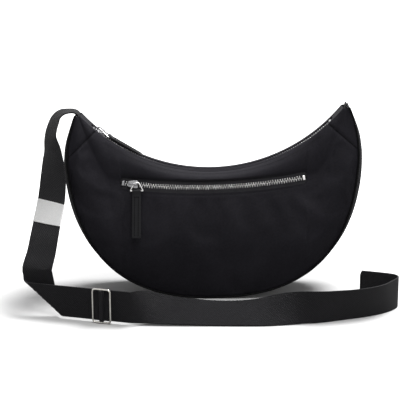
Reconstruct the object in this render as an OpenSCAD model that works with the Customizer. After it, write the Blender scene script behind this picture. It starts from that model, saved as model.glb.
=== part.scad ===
// Half-moon shoulder bag with a webbing strap, two metal zips and a wire slider buckle.
// Millimetres, +Z up, the front of the bag faces -Y.
// The origin is the centre of the flat face of the gusset that the bag stands on.

/* [Bag] */
// Width across the widest level
bag_w = 370; // [350:1:390]
// Depth from the front seam to the back seam at the bottom
bag_d = 76; // [66:1:84]
// Height of the widest level above the floor
belly_z = 187; // [180:1:195]
// Height of the lowest point of the mouth
mouth_z = 156; // [150:1:160]
// How square the lower outline is, where 2 is an ellipse
outline_power = 2.5; // [2.1:0.05:2.6]
// How much of the round bottom the floor presses flat
floor_press = 1.6; // [1:0.1:2.5]
// Half height of the ellipse that closes the outline above the widest level
horn_round_h = 120; // [100:1:140]
// Angle that the outline climbs above the widest level to the horn tips
horn_reach = 14.3; // [13:0.1:17]
// Width of each horn tip
horn_tip_w = 12; // [10.5:0.1:15]
// How far the weight of the hanging strap pulls the left horn in
left_tuck = 5.8; // [2:0.1:6]
// How far the right horn slumps in
right_tuck = 4.4; // [2:0.1:6]
// Sideways lean of the standing bag, right horn up
lean = 1.8; // [0:0.1:2.5]

/* [Fabric] */
// Thickness of the padded outer fabric
fabric_t = 1.6; // [1.2:0.1:1.8]
// Thickness of the lining cloth
lining_t = 0.6; // [0.4:0.1:0.8]
// How far the gusset crowns out past its seams
crown_h = 11.5; // [9:0.5:14]
// How far the gusset still crowns out where the floor presses it
crown_low_h = 3; // [2:0.5:5]
// How far the front and the back bulge past their seams
belly_bulge = 12; // [8:0.5:14]
// Diameter of the piping along the seams
piping_d = 2.6; // [2:0.1:3]

/* [Top zip] */
// Half width of the zip panel between the front and the back
mouth_half_d = 11; // [10:0.5:13]
// Half width of tape that shows between the facings
tape_show = 6; // [5.5:0.1:7]
// Length of the cloth tab at each end of the zip
end_tab_len = 18; // [14:1:22]

/* [Front zip] */
// Width of the window in the front
window_w = 231; // [200:1:236]
// Height of the window along the slope
window_h = 15; // [14:0.5:17]
// Sag of the window's middle below its ends
window_sag = 9; // [6:0.5:12]
// Height of the middle of the window
window_z = 139.8; // [137:0.1:141]
// Distance of the middle of the window in front of the bag's middle plane
window_y = 27.5; // [26:0.5:29]
// Backward tilt of the front at the window
window_tilt = 19.4; // [17:0.2:22]
// Depth of the front pocket below the window, as a share of the front
pocket_depth_share = 0.72; // [0.6:0.01:0.8]

/* [Zip hardware] */
// Tooth spacing along one row
tooth_pitch = 3; // [2.6:0.1:3.4]
// Width of the closed chain
chain_w = 5.9; // [5.4:0.1:6.4]
// Height of a tooth
tooth_h = 2.6; // [2.2:0.1:3]
// Thickness of the zip tape
tape_t = 0.8; // [0.6:0.1:1]
// Length of a slider
slider_len = 12.5; // [11:0.5:13]
// Width of a slider
slider_w = 9.4; // [9:0.1:10.4]
// Thickness of a slider's plates
plate_t = 1.1; // [0.9:0.1:1.3]
// Wire diameter of a pull ring
ring_wire = 1.5; // [1.3:0.1:1.7]
// Length of a pull ring from bar to bar
ring_len = 10; // [9:0.5:12]
// Length of the leather pull tab of the front zip
front_tab_len = 58; // [50:1:60]
// Length of the leather pull tab of the top zip
top_tab_len = 46; // [42:1:54]
// How far the front slider is parked from its stop
front_park = 4; // [2:0.5:8]
// Width of a leather pull tab
tab_w = 11; // [9.5:0.5:11.5]
// Thickness of a leather pull tab
tab_t = 2.4; // [2:0.1:2.8]

/* [Strap] */
// Width of the webbing
strap_w = 38; // [34:1:40]
// Thickness of the webbing
strap_t = 1.7; // [1.4:0.1:2]
// Radius of the diagonal fold on the left
fold_r = 4; // [3.5:0.5:5]
// Lean of the webbing that comes down into the fold
fold_slant = 10; // [5:1:15]
// Turn of the straight run after the fold, towards the front
run_turn = 16; // [12:1:20]
// Place of the buckle to the left of the middle
buckle_x = 125; // [118:1:132]
// Place of the buckle in front of the middle
buckle_y = 123.5; // [118:0.5:128]
// Length of webbing that the white band covers
band_len = 30; // [24:1:36]
// How far one end of the white band is further along the webbing than the other
band_skew = 9; // [0:0.5:12]
// Length of the hem at the free end
hem_len = 10; // [8:1:14]
// How far the webbing end sticks out of the right horn
stub_len = 4; // [3:0.5:7]

/* [Buckle] */
// Width of the buckle along the webbing
buckle_w = 24; // [22:0.5:28]
// Wire diameter of the buckle
buckle_wire = 2.2; // [2:0.1:2.6]
// Corner radius of the buckle's wire
buckle_corner = 4; // [3:0.5:5]

/* [Hidden] */
$fn = 48;

// Running gap between pieces that only touch
gap = 0.3;
// Overrun of a cutting shape past the face that it cuts
over = 1;
// Height of the point that the lean turns about, so that the flat face stays centred
lean_pivot_share = 1.7;
lean_pivot_z = lean_pivot_share * belly_z;
half_w = bag_w / 2;
lower_h = belly_z + floor_press;

// Cells of the surface grids
fan_cells = 12;
horn_cells = 3;
window_cells = 16;
belly_cells = 8;
// Cloth beside the window before the slices start to fan out
window_margin = 12.5;
fan_x = window_w / 2 + window_margin;
station_count = 2 * fan_cells + window_cells + 2;
window_first = fan_cells + 1;
window_last = station_count - window_first;

// Mouth arc through its lowest point and the horn tips
function outline_r(a) =
    let (
        up = sin(a) > 0,
        p = up ? 2 : outline_power,
        h = up ? horn_round_h : lower_h
    )
    pow(pow(abs(cos(a)) / half_w, p) + pow(abs(sin(a)) / h, p), -1 / p);
function outline_at(a) = [outline_r(a) * cos(a), belly_z + outline_r(a) * sin(a)];
horn_out = outline_at(horn_reach);
// Drop of the mouth's end below the outline's end, as a share of the tip's width
tip_drop_share = 0.11;
horn_in = horn_out - horn_tip_w * [1, tip_drop_share];
mouth_rise = horn_in.y - mouth_z;
mouth_r = (horn_in.x * horn_in.x + mouth_rise * mouth_rise) / (2 * mouth_rise);
mouth_c = mouth_z + mouth_r;
mouth_angle = atan2(horn_in.x, mouth_r - mouth_rise);
function deg_of(len, r) = len / r * 180 / PI;

// Half depth of a panel's outside at the mouth, where the facing ends inside it
mouth_edge_d = mouth_half_d + fabric_t + gap;
// Half depth of the horn tips, which are pinched round the gathered ends of the webbing
tip_share = 1.05;
tip_half_d = tip_share * mouth_edge_d;

// Window arc in the tilted plane of the window
window_r = (window_w * window_w / 4 + window_sag * window_sag) / (2 * window_sag);
window_angle = asin(window_w / 2 / window_r);

function lerp(a, b, t) = a + (b - a) * t;
function unit(v) = v / norm(v);
function ease(t) = t * t * (3 - 2 * t);
function leaned(p) = [
    p.x * cos(lean) - (p.z - lean_pivot_z) * sin(lean),
    p.y,
    lean_pivot_z + p.x * sin(lean) + (p.z - lean_pivot_z) * cos(lean)
];
function clamped(p, low) = [p.x, p.y, max(p.z, low)];

// A slice of the bag: [mouth point, outline point, turn share from bottom to tip, fan share]
function lower_z(x) = belly_z - lower_h * pow(1 - pow(abs(x) / half_w, outline_power), 1 / outline_power);
fan_low = atan2(lower_z(fan_x) - belly_z, fan_x);
fan_top = asin(fan_x / mouth_r);
fan_power = 3;
// The horns start to tuck in at the first share of the fan, and are all in at the second
tuck_from = 0.66;
tuck_to = 0.92;
function tuck(k, side) =
    (side > 0 ? right_tuck : left_tuck)
    * ease(max(0, min(1, (k - tuck_from) / (tuck_to - tuck_from))));
function fan_slice(k, side) =
    let (
        t = lerp(fan_top, mouth_angle, pow(k, fan_power)),
        a = lerp(fan_low, horn_reach, k),
        b = outline_at(a)
    )
    [[side * mouth_r * sin(t), mouth_c - mouth_r * cos(t)],
     [side * (b.x - tuck(k, side)), b.y], turn_share(a), k];
// From straight down to level
quarter = 90;
function turn_share(a) = (a + quarter) / (horn_reach + quarter);
function middle_slice(x) =
    let (z = lower_z(x))
    [[x, mouth_c - sqrt(mouth_r * mouth_r - x * x)], [x, z],
     abs(turn_share(atan2(z - belly_z, abs(x)))), 0];
slices = concat(
    [for (i = [fan_cells:-1:1]) fan_slice(i / fan_cells, -1)],
    [middle_slice(-fan_x)],
    [for (i = [0:window_cells]) middle_slice(lerp(-window_w / 2, window_w / 2, i / window_cells))],
    [middle_slice(fan_x)],
    [for (i = [1:fan_cells]) fan_slice(i / fan_cells, 1)]
);

// Half depth at the gusset seam of a slice, which stays wide until it nears the horns
pinch_power = 3;
function seam_half_d(s) = lerp(bag_d / 2, tip_half_d, pow(s[2], pinch_power));

// Crown of the gusset at a slice, which grows from the floor to this share of the turn and
// fades towards the flat horn tips
crown_full_share = 0.8;
tip_fade_share = 0.97;
function crown_at(s) =
    lerp(crown_low_h, crown_h, ease(min(s[2] / crown_full_share, 1)))
    * (1 - tip_fade_share * pow(s[2], 4));

// Point of an outline slice moved in from the outline by d
function inward(s, d) = s[1] + d * unit([0, belly_z] - s[1]);
// Lower edge of a panel, beside the piping
function panel_low(s) = inward(s, crown_at(s) + piping_d / 2 + gap);

// Window edges on a slice, as heights in the window plane, up the slope from its middle
function window_up(x, d) = window_r - sqrt(pow(window_r - d, 2) - x * x);
function held_x(s) = max(-fan_x, min(fan_x, s[1].x));
function window_share(s, d) =
    let (
        x = held_x(s),
        m = middle_slice(x),
        z = window_z + window_up(x, d) * cos(window_tilt)
    )
    (m[0].y - z) / (m[0].y - panel_low(m).y);
function window_half_d(s, d) =
    lerp(
        window_y - window_up(held_x(s), d) * sin(window_tilt),
        lerp(mouth_edge_d, seam_half_d(s), horn_swell_share),
        s[3]
    );

// How much of the way out to the window the panel has reached halfway down to it
swell_share = 0.92;
// How far the panel has come out at the fold line of a horn, from the mouth to the seam
horn_swell_share = 0.3;

// Rows of a panel slice, each [share from mouth to seam, half depth]
function panel_rows(s) =
    let (
        upper = window_share(s, window_h / 2),
        lower = window_share(s, -window_h / 2),
        upper_d = window_half_d(s, window_h / 2),
        lower_d = window_half_d(s, -window_h / 2),
        seam_d = seam_half_d(s),
        bulge = belly_bulge * (1 - pow(s[2], 2))
    )
    concat(
        [[0, mouth_edge_d]],
        [[upper / 2, lerp(mouth_edge_d, upper_d, swell_share)]],
        [[upper, upper_d], [lower, lower_d]],
        [for (j = [1:belly_cells])
            let (t = j / belly_cells)
            [lerp(lower, 1, t), lerp(lower_d, seam_d, t) + bulge * sin(180 * t)]]
    );
panel_cells = belly_cells + 3;

// Point of the panel at a slice and a row, with side -1 in front and 1 behind, set in by d
function panel_point(s, row, side, d) =
    let (p = lerp(s[0], panel_low(s), row[0]))
    leaned([p.x, side * (row[1] - d), p.y]);
function panel_grid(first, last, side, d) = [
    for (i = [first:last])
        let (s = slices[i])
        [for (row = panel_rows(s)) panel_point(s, row, side, d)]
];

// A closed sheet between two grids of points, with an optional window of cells left out
module sheet(outer, inner, flip = false, hole = [0, 0, 0, 0]) {
    nu = len(outer) - 1;
    nv = len(outer[0]) - 1;
    count = (nu + 1) * (nv + 1);
    points = concat([for (r = outer) each r], [for (r = inner) each r]);
    function at(i, j) = i * (nv + 1) + j;
    function here(i, j) = i >= 0 && i < nu && j >= 0 && j < nv
        && !(i >= hole[0] && i < hole[1] && j >= hole[2] && j < hole[3]);
    function wall(p, q) = [[q, p, p + count], [q, p + count, q + count]];
    faces = [
        for (i = [0:nu - 1])
            for (j = [0:nv - 1])
                if (here(i, j))
                    let (a = at(i, j), b = at(i + 1, j), c = at(i + 1, j + 1), d = at(i, j + 1))
                    each concat(
                        [[a, b, c], [a, c, d]],
                        [[a + count, c + count, b + count], [a + count, d + count, c + count]],
                        here(i, j - 1) ? [] : wall(a, b),
                        here(i + 1, j) ? [] : wall(b, c),
                        here(i, j + 1) ? [] : wall(c, d),
                        here(i - 1, j) ? [] : wall(d, a)
                    )
    ];
    polyhedron(points, flip ? [for (f = faces) [f[2], f[1], f[0]]] : faces, convexity = 8);
}

// A round cord of six sides along a list of points, each ring square to the cord
module piping(path, d) {
    sides = 6;
    last = len(path) - 1;
    rings = [
        for (i = [0:last])
            let (
                along = unit(path[min(i + 1, last)] - path[max(i - 1, 0)]),
                out = unit(cross(along, [0, 1, 0])),
                up = cross(along, out)
            )
            for (k = [0:sides - 1])
                path[i] + d / 2 * (cos(360 * k / sides) * out + sin(360 * k / sides) * up)
    ];
    faces = concat(
        [for (i = [0:last - 1])
            for (k = [0:sides - 1])
                let (a = i * sides + k, b = i * sides + (k + 1) % sides)
                each [[a, b, b + sides], [a, b + sides, a + sides]]],
        [[for (k = [sides - 1:-1:0]) k]],
        [[for (k = [0:sides - 1]) last * sides + k]]
    );
    polyhedron(rings, [for (f = faces) [for (k = [len(f) - 1:-1:0]) f[k]]], convexity = 8);
}

module panel(first, last, side, hole = [0, 0, 0, 0]) {
    sheet(
        panel_grid(first, last, side, 0),
        panel_grid(first, last, side, fabric_t),
        side > 0,
        hole
    );
}

horn_last = horn_cells;
horn_first = station_count - horn_cells;

// Rows of the panel's grid between which the window lies
window_top_row = 2;
window_low_row = 3;
module front_panel() {
    color([0.09, 0.09, 0.1])
    panel(horn_last, horn_first, -1,
        [window_first - horn_last, window_last - horn_last, window_top_row, window_low_row]);
}

module front_horn_left() {
    color([0.11, 0.11, 0.12])
    panel(0, horn_last, -1);
}

module front_horn_right() {
    color([0.11, 0.11, 0.12])
    panel(horn_first, station_count, -1);
}

module back_panel() {
    color([0.09, 0.09, 0.1])
    panel(horn_last, horn_first, 1);
}

module back_horn_left() {
    color([0.11, 0.11, 0.12])
    panel(0, horn_last, 1);
}

module back_horn_right() {
    color([0.11, 0.11, 0.12])
    panel(horn_first, station_count, 1);
}

// The gusset crowns out between the two seams and lies flat on the floor
gusset_cells = 8;
crown_power = 2.4;
seam_gap = fabric_t + 2 * gap;
function gusset_grid(d) = [
    for (s = slices)
        [for (j = [0:gusset_cells])
            let (
                q = 2 * j / gusset_cells - 1,
                p = inward(s, d + crown_at(s) * pow(abs(q), crown_power))
            )
            clamped(leaned([p.x, q * (seam_half_d(s) - seam_gap), p.y]), d)]
];

module gusset() {
    color([0.1, 0.1, 0.11])
    sheet(gusset_grid(0), gusset_grid(fabric_t));
}

function seam_path(side) = [
    for (s = slices)
        let (p = inward(s, crown_at(s)))
        leaned([p.x, side * seam_half_d(s), p.y])
];

module front_piping() {
    color([0.05, 0.05, 0.05])
    piping(seam_path(-1), piping_d);
}

module back_piping() {
    color([0.05, 0.05, 0.05])
    piping(seam_path(1), piping_d);
}

// The lining hangs from the mouth: down the front, across the bottom and up the back
lining_first = 4;
// Drop of the lining's top edge below the mouth
lining_drop = 4.5;
lining_bottom_share = 0.94;
// Least half depth of the lining, which keeps it clear of the slider
lining_least_share = 0.75;
// Room between the front and the lining for the front pocket
lining_room = 9;
lining_cells = 6;
floor_cells = 2;
function lining_side(s, side, d, t) =
    let (
        rows = panel_rows(s),
        share = lerp(lining_drop / norm(s[0] - s[1]), lining_bottom_share, t),
        room = lining_room * (1 - s[3]) + 2 * fabric_t,
        deep = lookup(share, rows) - room,
        p = lerp(s[0], inward(s, crown_at(s) + d), share)
    )
    leaned([p.x, side * (max(deep, lining_least_share * mouth_half_d) - d), p.y]);
function lining_grid(d) = [
    for (i = [lining_first:station_count - lining_first])
        let (
            s = slices[i],
            a = lining_side(s, -1, d, 1),
            b = lining_side(s, 1, d, 1)
        )
        concat(
            [for (j = [0:lining_cells]) lining_side(s, -1, d, j / lining_cells)],
            [for (j = [1:floor_cells - 1]) lerp(a, b, j / floor_cells)],
            [for (j = [lining_cells:-1:0]) lining_side(s, 1, d, j / lining_cells)]
        )
];

module lining() {
    color([0.2, 0.2, 0.22])
    sheet(lining_grid(0), lining_grid(lining_t));
}

// The front pocket hangs behind the window, with its two layers sewn together at the sides
pocket_room = 4;
pocket_cells = 4;
// Where the pocket's layers start, below and above the window, as shares of the front
pocket_below_share = 0.015;
pocket_above_share = 0.004;
function pocket_point(s, share, d) =
    let (
        rows = panel_rows(s),
        p = lerp(s[0], panel_low(s), share)
    )
    leaned([p.x, -(lookup(share, rows) - fabric_t - gap - d), p.y]);
function pocket_grid(d) = [
    for (i = [window_first - 1:window_last + 1])
        let (
            s = slices[i],
            edge = i < window_first || i > window_last,
            room = edge ? lining_t + 2 * gap : pocket_room,
            low = window_share(s, -window_h / 2) + pocket_below_share,
            high = window_share(s, window_h / 2) - pocket_above_share,
            bottom = pocket_depth_share - d / mouth_z
        )
        concat(
            [for (j = [1:pocket_cells])
                pocket_point(s, lerp(low, bottom, j / pocket_cells), d)],
            [for (j = [pocket_cells:-1:0])
                pocket_point(s, lerp(high, bottom, j / pocket_cells), tape_t + room + lining_t - d)]
        )
];

module front_pocket_bag() {
    color([0.2, 0.2, 0.22])
    sheet(pocket_grid(0), pocket_grid(lining_t));
}

// Frames of the two zips
module lean_frame() {
    translate([0, 0, lean_pivot_z])
    rotate([0, -lean, 0])
    translate([0, 0, -lean_pivot_z])
    children();
}

// Plane of the mouth arc, with its centre at the origin and the front of the bag towards +Z
module mouth_frame() {
    lean_frame()
    translate([0, 0, mouth_c])
    rotate([90, 0, 0])
    children();
}

// Plane of the window arc, with the arc's centre at the origin and the outside towards +Z
module window_frame() {
    lean_frame()
    translate([0, -window_y, window_z])
    rotate([90 - window_tilt, 0, 0])
    translate([0, window_r, 0])
    children();
}

// A band of an arc about the origin, between two radii, two angles from -Y and two heights
module arc_band(r1, r2, a1, a2, z1, z2) {
    rotate([0, 0, a1 - 90])
    rotate_extrude(angle = a2 - a1, $fn = 360)
    translate([r1, z1])
    square([r2 - r1, z2 - z1]);
}

// A place on an arc: X along the arc, Y towards its centre
module on_arc(r, a) {
    rotate([0, 0, a])
    translate([0, -r, 0])
    children();
}

// A place on the mouth arc, turned so that Y is across the zip and Z is up from it
module on_mouth(a) {
    mouth_frame()
    on_arc(tape_r, a)
    rotate([-90, 0, 0])
    children();
}

module on_window(a) {
    window_frame()
    on_arc(window_r, a)
    translate([0, 0, window_z_low])
    children();
}

// Middle of the tape: below the facing on the mouth, behind the cloth at the window
tape_r = mouth_r + fabric_t + tape_t / 2;
window_z_low = -fabric_t - tape_t / 2;
tab_angle = deg_of(end_tab_len, mouth_r);
zip_angle = mouth_angle - tab_angle;
// Width of tape that the teeth are clamped on
tape_hold = 2;
tape_in = chain_w / 2 - tape_hold;

module top_facing_front() {
    color([0.1, 0.1, 0.11])
    mouth_frame()
    arc_band(mouth_r, mouth_r + fabric_t, -zip_angle, zip_angle, tape_show, mouth_half_d);
}

module top_facing_back() {
    color([0.1, 0.1, 0.11])
    mouth_frame()
    arc_band(mouth_r, mouth_r + fabric_t, -zip_angle, zip_angle, -mouth_half_d, -tape_show);
}

module zip_end_tab(a1, a2) {
    color([0.1, 0.1, 0.11])
    mouth_frame()
    arc_band(mouth_r, mouth_r + fabric_t, a1, a2, -mouth_half_d, mouth_half_d);
}

module zip_end_tab_left() {
    zip_end_tab(-mouth_angle, -zip_angle);
}

module zip_end_tab_right() {
    zip_end_tab(zip_angle, mouth_angle);
}

module top_tape_front() {
    color([0.04, 0.04, 0.04])
    mouth_frame()
    arc_band(tape_r - tape_t / 2, tape_r + tape_t / 2, -zip_angle, zip_angle, tape_in, mouth_half_d);
}

module top_tape_back() {
    color([0.04, 0.04, 0.04])
    mouth_frame()
    arc_band(tape_r - tape_t / 2, tape_r + tape_t / 2, -zip_angle, zip_angle, -mouth_half_d, -tape_in);
}

// One tooth: clamped over the edge of its tape on the +Y side, its tip across the middle
tooth_len_share = 0.4;
tooth_len = tooth_len_share * tooth_pitch;
// How far a tooth reaches past the middle of the chain
tooth_tip_share = 0.25;
module tooth() {
    tip = tooth_tip_share * chain_w / 2;
    difference() {
        translate([-tooth_len / 2, -tip, -tooth_h / 2])
        cube([tooth_len, chain_w / 2 + tip, tooth_h]);
        translate([-tooth_len / 2 - over, tape_in, -tape_t / 2])
        cube([tooth_len + 2 * over, chain_w, tape_t]);
    }
}

// Angles of the teeth of one row on an arc, the rows half a pitch apart
function tooth_angles(r, a1, a2, shift) =
    let (step = deg_of(tooth_pitch, r))
    [for (a = [a1 + (0.5 + shift) * step:step:a2 - 0.5 * step]) a];
teeth_inset = 2 * tooth_pitch;
stop_inset_share = 1.6;
stop_inset = stop_inset_share * tooth_pitch;
// Distance of a slider's middle from the end of its zip, where it rests against the stop
slider_inset = stop_inset + tooth_pitch / 2 + 2 * gap + slider_len / 2;

module top_teeth(side) {
    inset = deg_of(teeth_inset, mouth_r);
    for (a = tooth_angles(tape_r, inset - zip_angle, zip_angle - inset, side > 0 ? 0.5 : 0))
        on_mouth(a)
        scale([1, side, 1])
        tooth();
}

module top_teeth_front() {
    color([0.78, 0.78, 0.8])
    top_teeth(-1);
}

module top_teeth_back() {
    color([0.78, 0.78, 0.8])
    top_teeth(1);
}

module zip_stop() {
    translate([-tooth_pitch / 2, -chain_w / 2, tape_t / 2])
    cube([tooth_pitch, chain_w, tooth_h / 2]);
}

module top_zip_stops() {
    inset = deg_of(stop_inset, mouth_r);
    color([0.78, 0.78, 0.8])
    for (a = [inset - zip_angle, zip_angle - inset])
        on_mouth(a)
        zip_stop();
}

// Zip slider about the chain: an upper and a lower plate, side flanges and a bridge for the pull
plate_z = tooth_h / 2 + gap;
// Room under the wire of the ring, so that the tab's eye clears the cloth
pull_lift = 1.3;
bridge_room = ring_wire + 2 * gap + pull_lift;
bridge_t = 1;
bridge_w = 2.4;
// Round posts of the bridge, which the ring can turn about
post_d = 1.8;
post_x = slider_len / 2 - post_d;
flange_t = 1;
// How much narrower each side of a slider's plates is at the tail
tail_in = 1;
ring_z = plate_z + plate_t + bridge_room - gap - ring_wire / 2;
module slider_plate() {
    nose = slider_w / 2;
    tail = slider_w / 2 - tail_in;
    half = slider_len / 2;
    linear_extrude(plate_t)
    polygon([[-half, -tail], [0, -nose], [half, -nose], [half, nose], [0, nose], [-half, tail]]);
}

module slider_body() {
    flange_h = plate_z - tape_t / 2 - gap;
    translate([0, 0, plate_z])
    slider_plate();
    translate([0, 0, -plate_z - plate_t])
    slider_plate();
    for (side = [-1, 1]) {
        translate([-slider_len / 4, side * (slider_w - flange_t) / 2 - flange_t / 2, plate_z - flange_h])
        cube([slider_len * 3 / 4, flange_t, flange_h]);
        translate([-slider_len / 4, side * (slider_w - flange_t) / 2 - flange_t / 2, -plate_z])
        cube([slider_len * 3 / 4, flange_t, flange_h]);
    }
    for (side = [-1, 1])
        translate([side * post_x, 0, plate_z + plate_t])
        cylinder(d = post_d, h = bridge_room);
    translate([-post_x - bridge_w / 2, -bridge_w / 2, plate_z + plate_t + bridge_room])
    cube([2 * post_x + bridge_w, bridge_w, bridge_t]);
}

// Pull ring about the front post of the bridge, from its near bar at the origin along +X:
// two flat arms with a thinner round bar at each end
near_half = post_d / 2 + ring_wire + gap;
ring_flare = 1.3;
far_half = tab_w / 2 + ring_wire / 2 + gap + ring_flare;
near_back = post_d / 2 + ring_wire / 2 + gap;
pin_share = 0.9;
module pull_ring() {
    half = ring_wire / 2;
    far = ring_len + half;
    for (side = [-1, 1])
        scale([1, side, 1])
        linear_extrude(ring_wire, center = true)
        polygon([
            [-half, near_half - half], [far, far_half - half], [far, far_half + half], [-half, near_half + half]
        ]);
    for (bar = [[0, near_half], [ring_len, far_half]])
        translate([bar[0], 0, 0])
        rotate([90, 0, 0])
        cylinder(d = pin_share * ring_wire, h = 2 * bar[1], center = true);
}

// Leather tab folded about the far bar of its ring, with the bar at the origin
eye_r = ring_wire / 2 + gap / 2;
eye_wall = 0.9;
tab_corner = 1.5;
module pull_tab(len) {
    difference() {
        union() {
            rotate([90, 0, 0])
            cylinder(r = eye_r + eye_wall, h = tab_w, center = true);
            translate([0, -tab_w / 2, -tab_t / 2])
            cube([len - tab_corner, tab_w, tab_t]);
            for (side = [-1, 1])
                translate([len - tab_corner, side * (tab_w / 2 - tab_corner), -tab_t / 2])
                cylinder(r = tab_corner, h = tab_t);
            translate([0, tab_corner - tab_w / 2, -tab_t / 2])
            cube([len, tab_w - 2 * tab_corner, tab_t]);
        }
        rotate([90, 0, 0])
        cylinder(r = eye_r, h = tab_w + 2 * over, center = true);
    }
}

// Stored place of the top slider, at the left end of the mouth
top_slider_angle = deg_of(slider_inset, tape_r) - zip_angle;
module on_top_slider() {
    on_mouth(top_slider_angle)
    children();
}

module top_slider() {
    color([0.8, 0.8, 0.82])
    on_top_slider()
    slider_body();
}

// The top pull lies down along the zip, its end just clear of the tab that rises under it
top_tab_end = post_x - near_back + ring_len + top_tab_len;
end_tab_top = fabric_t + tape_t / 2;
top_tab_rise = top_tab_end * top_tab_end / (2 * tape_r) + end_tab_top + tab_t / 2 + 2 * gap - ring_z;
top_tab_tilt = asin(top_tab_rise / top_tab_len);
module on_top_ring() {
    on_top_slider()
    translate([post_x - near_back, 0, ring_z])
    children();
}

module top_pull_ring() {
    color([0.8, 0.8, 0.82])
    on_top_ring()
    pull_ring();
}

module top_pull_tab() {
    color([0.08, 0.08, 0.08])
    on_top_ring()
    translate([ring_len, 0, 0])
    rotate([0, -top_tab_tilt, 0])
    pull_tab(top_tab_len);
}

// Front zip
module front_tape_upper() {
    color([0.04, 0.04, 0.04])
    window_frame()
    front_tape(window_r - window_h / 2 - window_seam, window_r - tape_in);
}

module front_tape_lower() {
    color([0.04, 0.04, 0.04])
    window_frame()
    front_tape(window_r + tape_in, window_r + window_h / 2 + window_seam);
}

// Tape that lies behind the cloth along the window's edge
window_seam = 5;
module front_tape(r1, r2) {
    arc_band(r1, r2, -window_angle, window_angle, window_z_low - tape_t / 2, window_z_low + tape_t / 2);
}

module front_teeth(side) {
    inset = deg_of(teeth_inset, window_r);
    for (a = tooth_angles(window_r, inset - window_angle, window_angle - inset, side > 0 ? 0.5 : 0))
        on_window(a)
        scale([1, side, 1])
        tooth();
}

module front_teeth_upper() {
    color([0.78, 0.78, 0.8])
    front_teeth(1);
}

module front_teeth_lower() {
    color([0.78, 0.78, 0.8])
    front_teeth(-1);
}

module front_zip_stops() {
    inset = deg_of(stop_inset, window_r);
    color([0.85, 0.85, 0.85])
    for (a = [inset - window_angle, window_angle - inset])
        on_window(a)
        zip_stop();
}

front_slider_angle = deg_of(slider_inset + front_park, window_r) - window_angle;
module on_front_slider() {
    on_window(front_slider_angle)
    children();
}

module front_slider() {
    color([0.8, 0.8, 0.82])
    on_front_slider()
    slider_body();
}

// The front pull hangs down from the front post of its bridge
module on_front_ring() {
    on_front_slider()
    translate([post_x, near_back, ring_z])
    rotate([0, 0, -90 - front_slider_angle - lean])
    children();
}

module front_pull_ring() {
    color([0.8, 0.8, 0.82])
    on_front_ring()
    pull_ring();
}

module front_pull_tab() {
    color([0.08, 0.08, 0.08])
    on_front_ring()
    translate([ring_len, 0, 0])
    pull_tab(front_tab_len);
}

// Webbing strap
// Straight run through the buckle: direction, way out to the front, height of its middle
run_along = [cos(run_turn), -sin(run_turn), 0];
run_out = [-sin(run_turn), -cos(run_turn), 0];
buckle_clear = gap + buckle_wire;
run_z = strap_w / 2 + buckle_clear;
buckle_at = [-buckle_x, -buckle_y, run_z];

// Diagonal fold: the webbing comes down along fold_in and leaves along run_along
fold_in = sin(fold_slant) * run_along - [0, 0, cos(fold_slant)];
fold_side = cos(fold_slant) * run_along + [0, 0, sin(fold_slant)];
crease = unit(fold_in + run_along);
crease_out = unit(fold_in - run_along);
fold_to_buckle_share = 2.36;
fold_to_buckle = fold_to_buckle_share * strap_w;
fold_half = PI * fold_r;
fold_at = buckle_at - fold_to_buckle * run_along - fold_half * crease_out - 2 * fold_r * run_out;

// A point of the webbing near the fold: s along the webbing, t across it
function fold_point(s, t) =
    let (
        flat = s * fold_in + t * fold_side,
        q = flat * crease_out,
        along = (flat * crease) * crease,
        wind = min(max(q, 0), fold_half) / fold_r * 180 / PI,
        reach = q < 0 ? q : (q < fold_half ? fold_r * sin(wind) : fold_half - q)
    )
    fold_at + along + reach * crease_out + fold_r * (1 - cos(wind)) * run_out;
// Where the fold's rows start and end along the webbing
fold_before_share = 0.62;
fold_after_share = 1.35;
fold_start = -fold_before_share * strap_w;
fold_end = fold_after_share * strap_w;
fold_steps = 24;

// Left horn tip, which the webbing comes out of
function tip_at(side) =
    let (s = fan_slice(1, side), p = (s[0] + s[1]) / 2)
    leaned([p.x, 0, p.y]);
left_tip = tip_at(-1);
right_tip = tip_at(1);

// Webbing from the left horn to the fold, each row: place as shares of the half width, the
// buckle's reach and the tip's height, then its turn and its gathered width as a share
drop_shares = [
    [-0.858, 0, 0.955, 0, 0.56],
    [-0.861, 0, 0.988, 0, 0.56],
    [-0.873, 0, 1.008, 0, 0.58],
    [-0.908, 0, 1.018, 4, 0.64],
    [-0.968, 0, 1.010, 14, 0.76],
    [-1.014, 0, 0.980, 21, 0.88],
    [-1.042, -0.02, 0.930, 23, 0.96],
    [-1.055, -0.05, 0.867, 27, 1],
    [-1.040, -0.12, 0.788, 40, 1],
    [-1.031, -0.23, 0.666, 57, 1],
    [-1.038, -0.34, 0.557, 63, 1],
    [-1.058, -0.46, 0.464, 63, 1],
    [-1.072, -0.57, 0.389, 66, 1],
    [-1.086, -0.65, 0.321, 69, 1],
];
drop_end = fold_point(fold_start, 0);
drop_points = concat(
    [for (r = drop_shares) [r[0] * half_w, r[1] * buckle_y, r[2] * left_tip.z]],
    [drop_end, drop_end + strap_w / 3 * fold_in]
);
drop_turns = concat([for (r = drop_shares) r[3]], [quarter - run_turn, quarter - run_turn]);
drop_widths = concat([for (r = drop_shares) r[4]], [1, 1]);

// Webbing along the floor after the buckle: place of the lower edge as shares of the
// half width and the buckle's reach, then its backward lean
floor_shares = [
    [-0.30, -1.099, 46],
    [-0.10, -1.106, 56],
    [0.06, -1.109, 60],
    [0.20, -1.112, 59],
    [0.36, -1.108, 50],
    [0.52, -1.071, 28],
    [0.69, -1.018, 4],
    [0.86, -0.931, -6],
    [1.00, -0.853, -8],
    [1.11, -0.766, -6],
    [1.195, -0.662, 0],
    [1.240, -0.552, 0],
    [1.222, -0.470, 0],
    [1.152, -0.420, 0],
    [1.085, -0.386, 0],
    [1.018, -0.355, 0],
];
run_start = fold_point(fold_end, 0);
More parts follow.
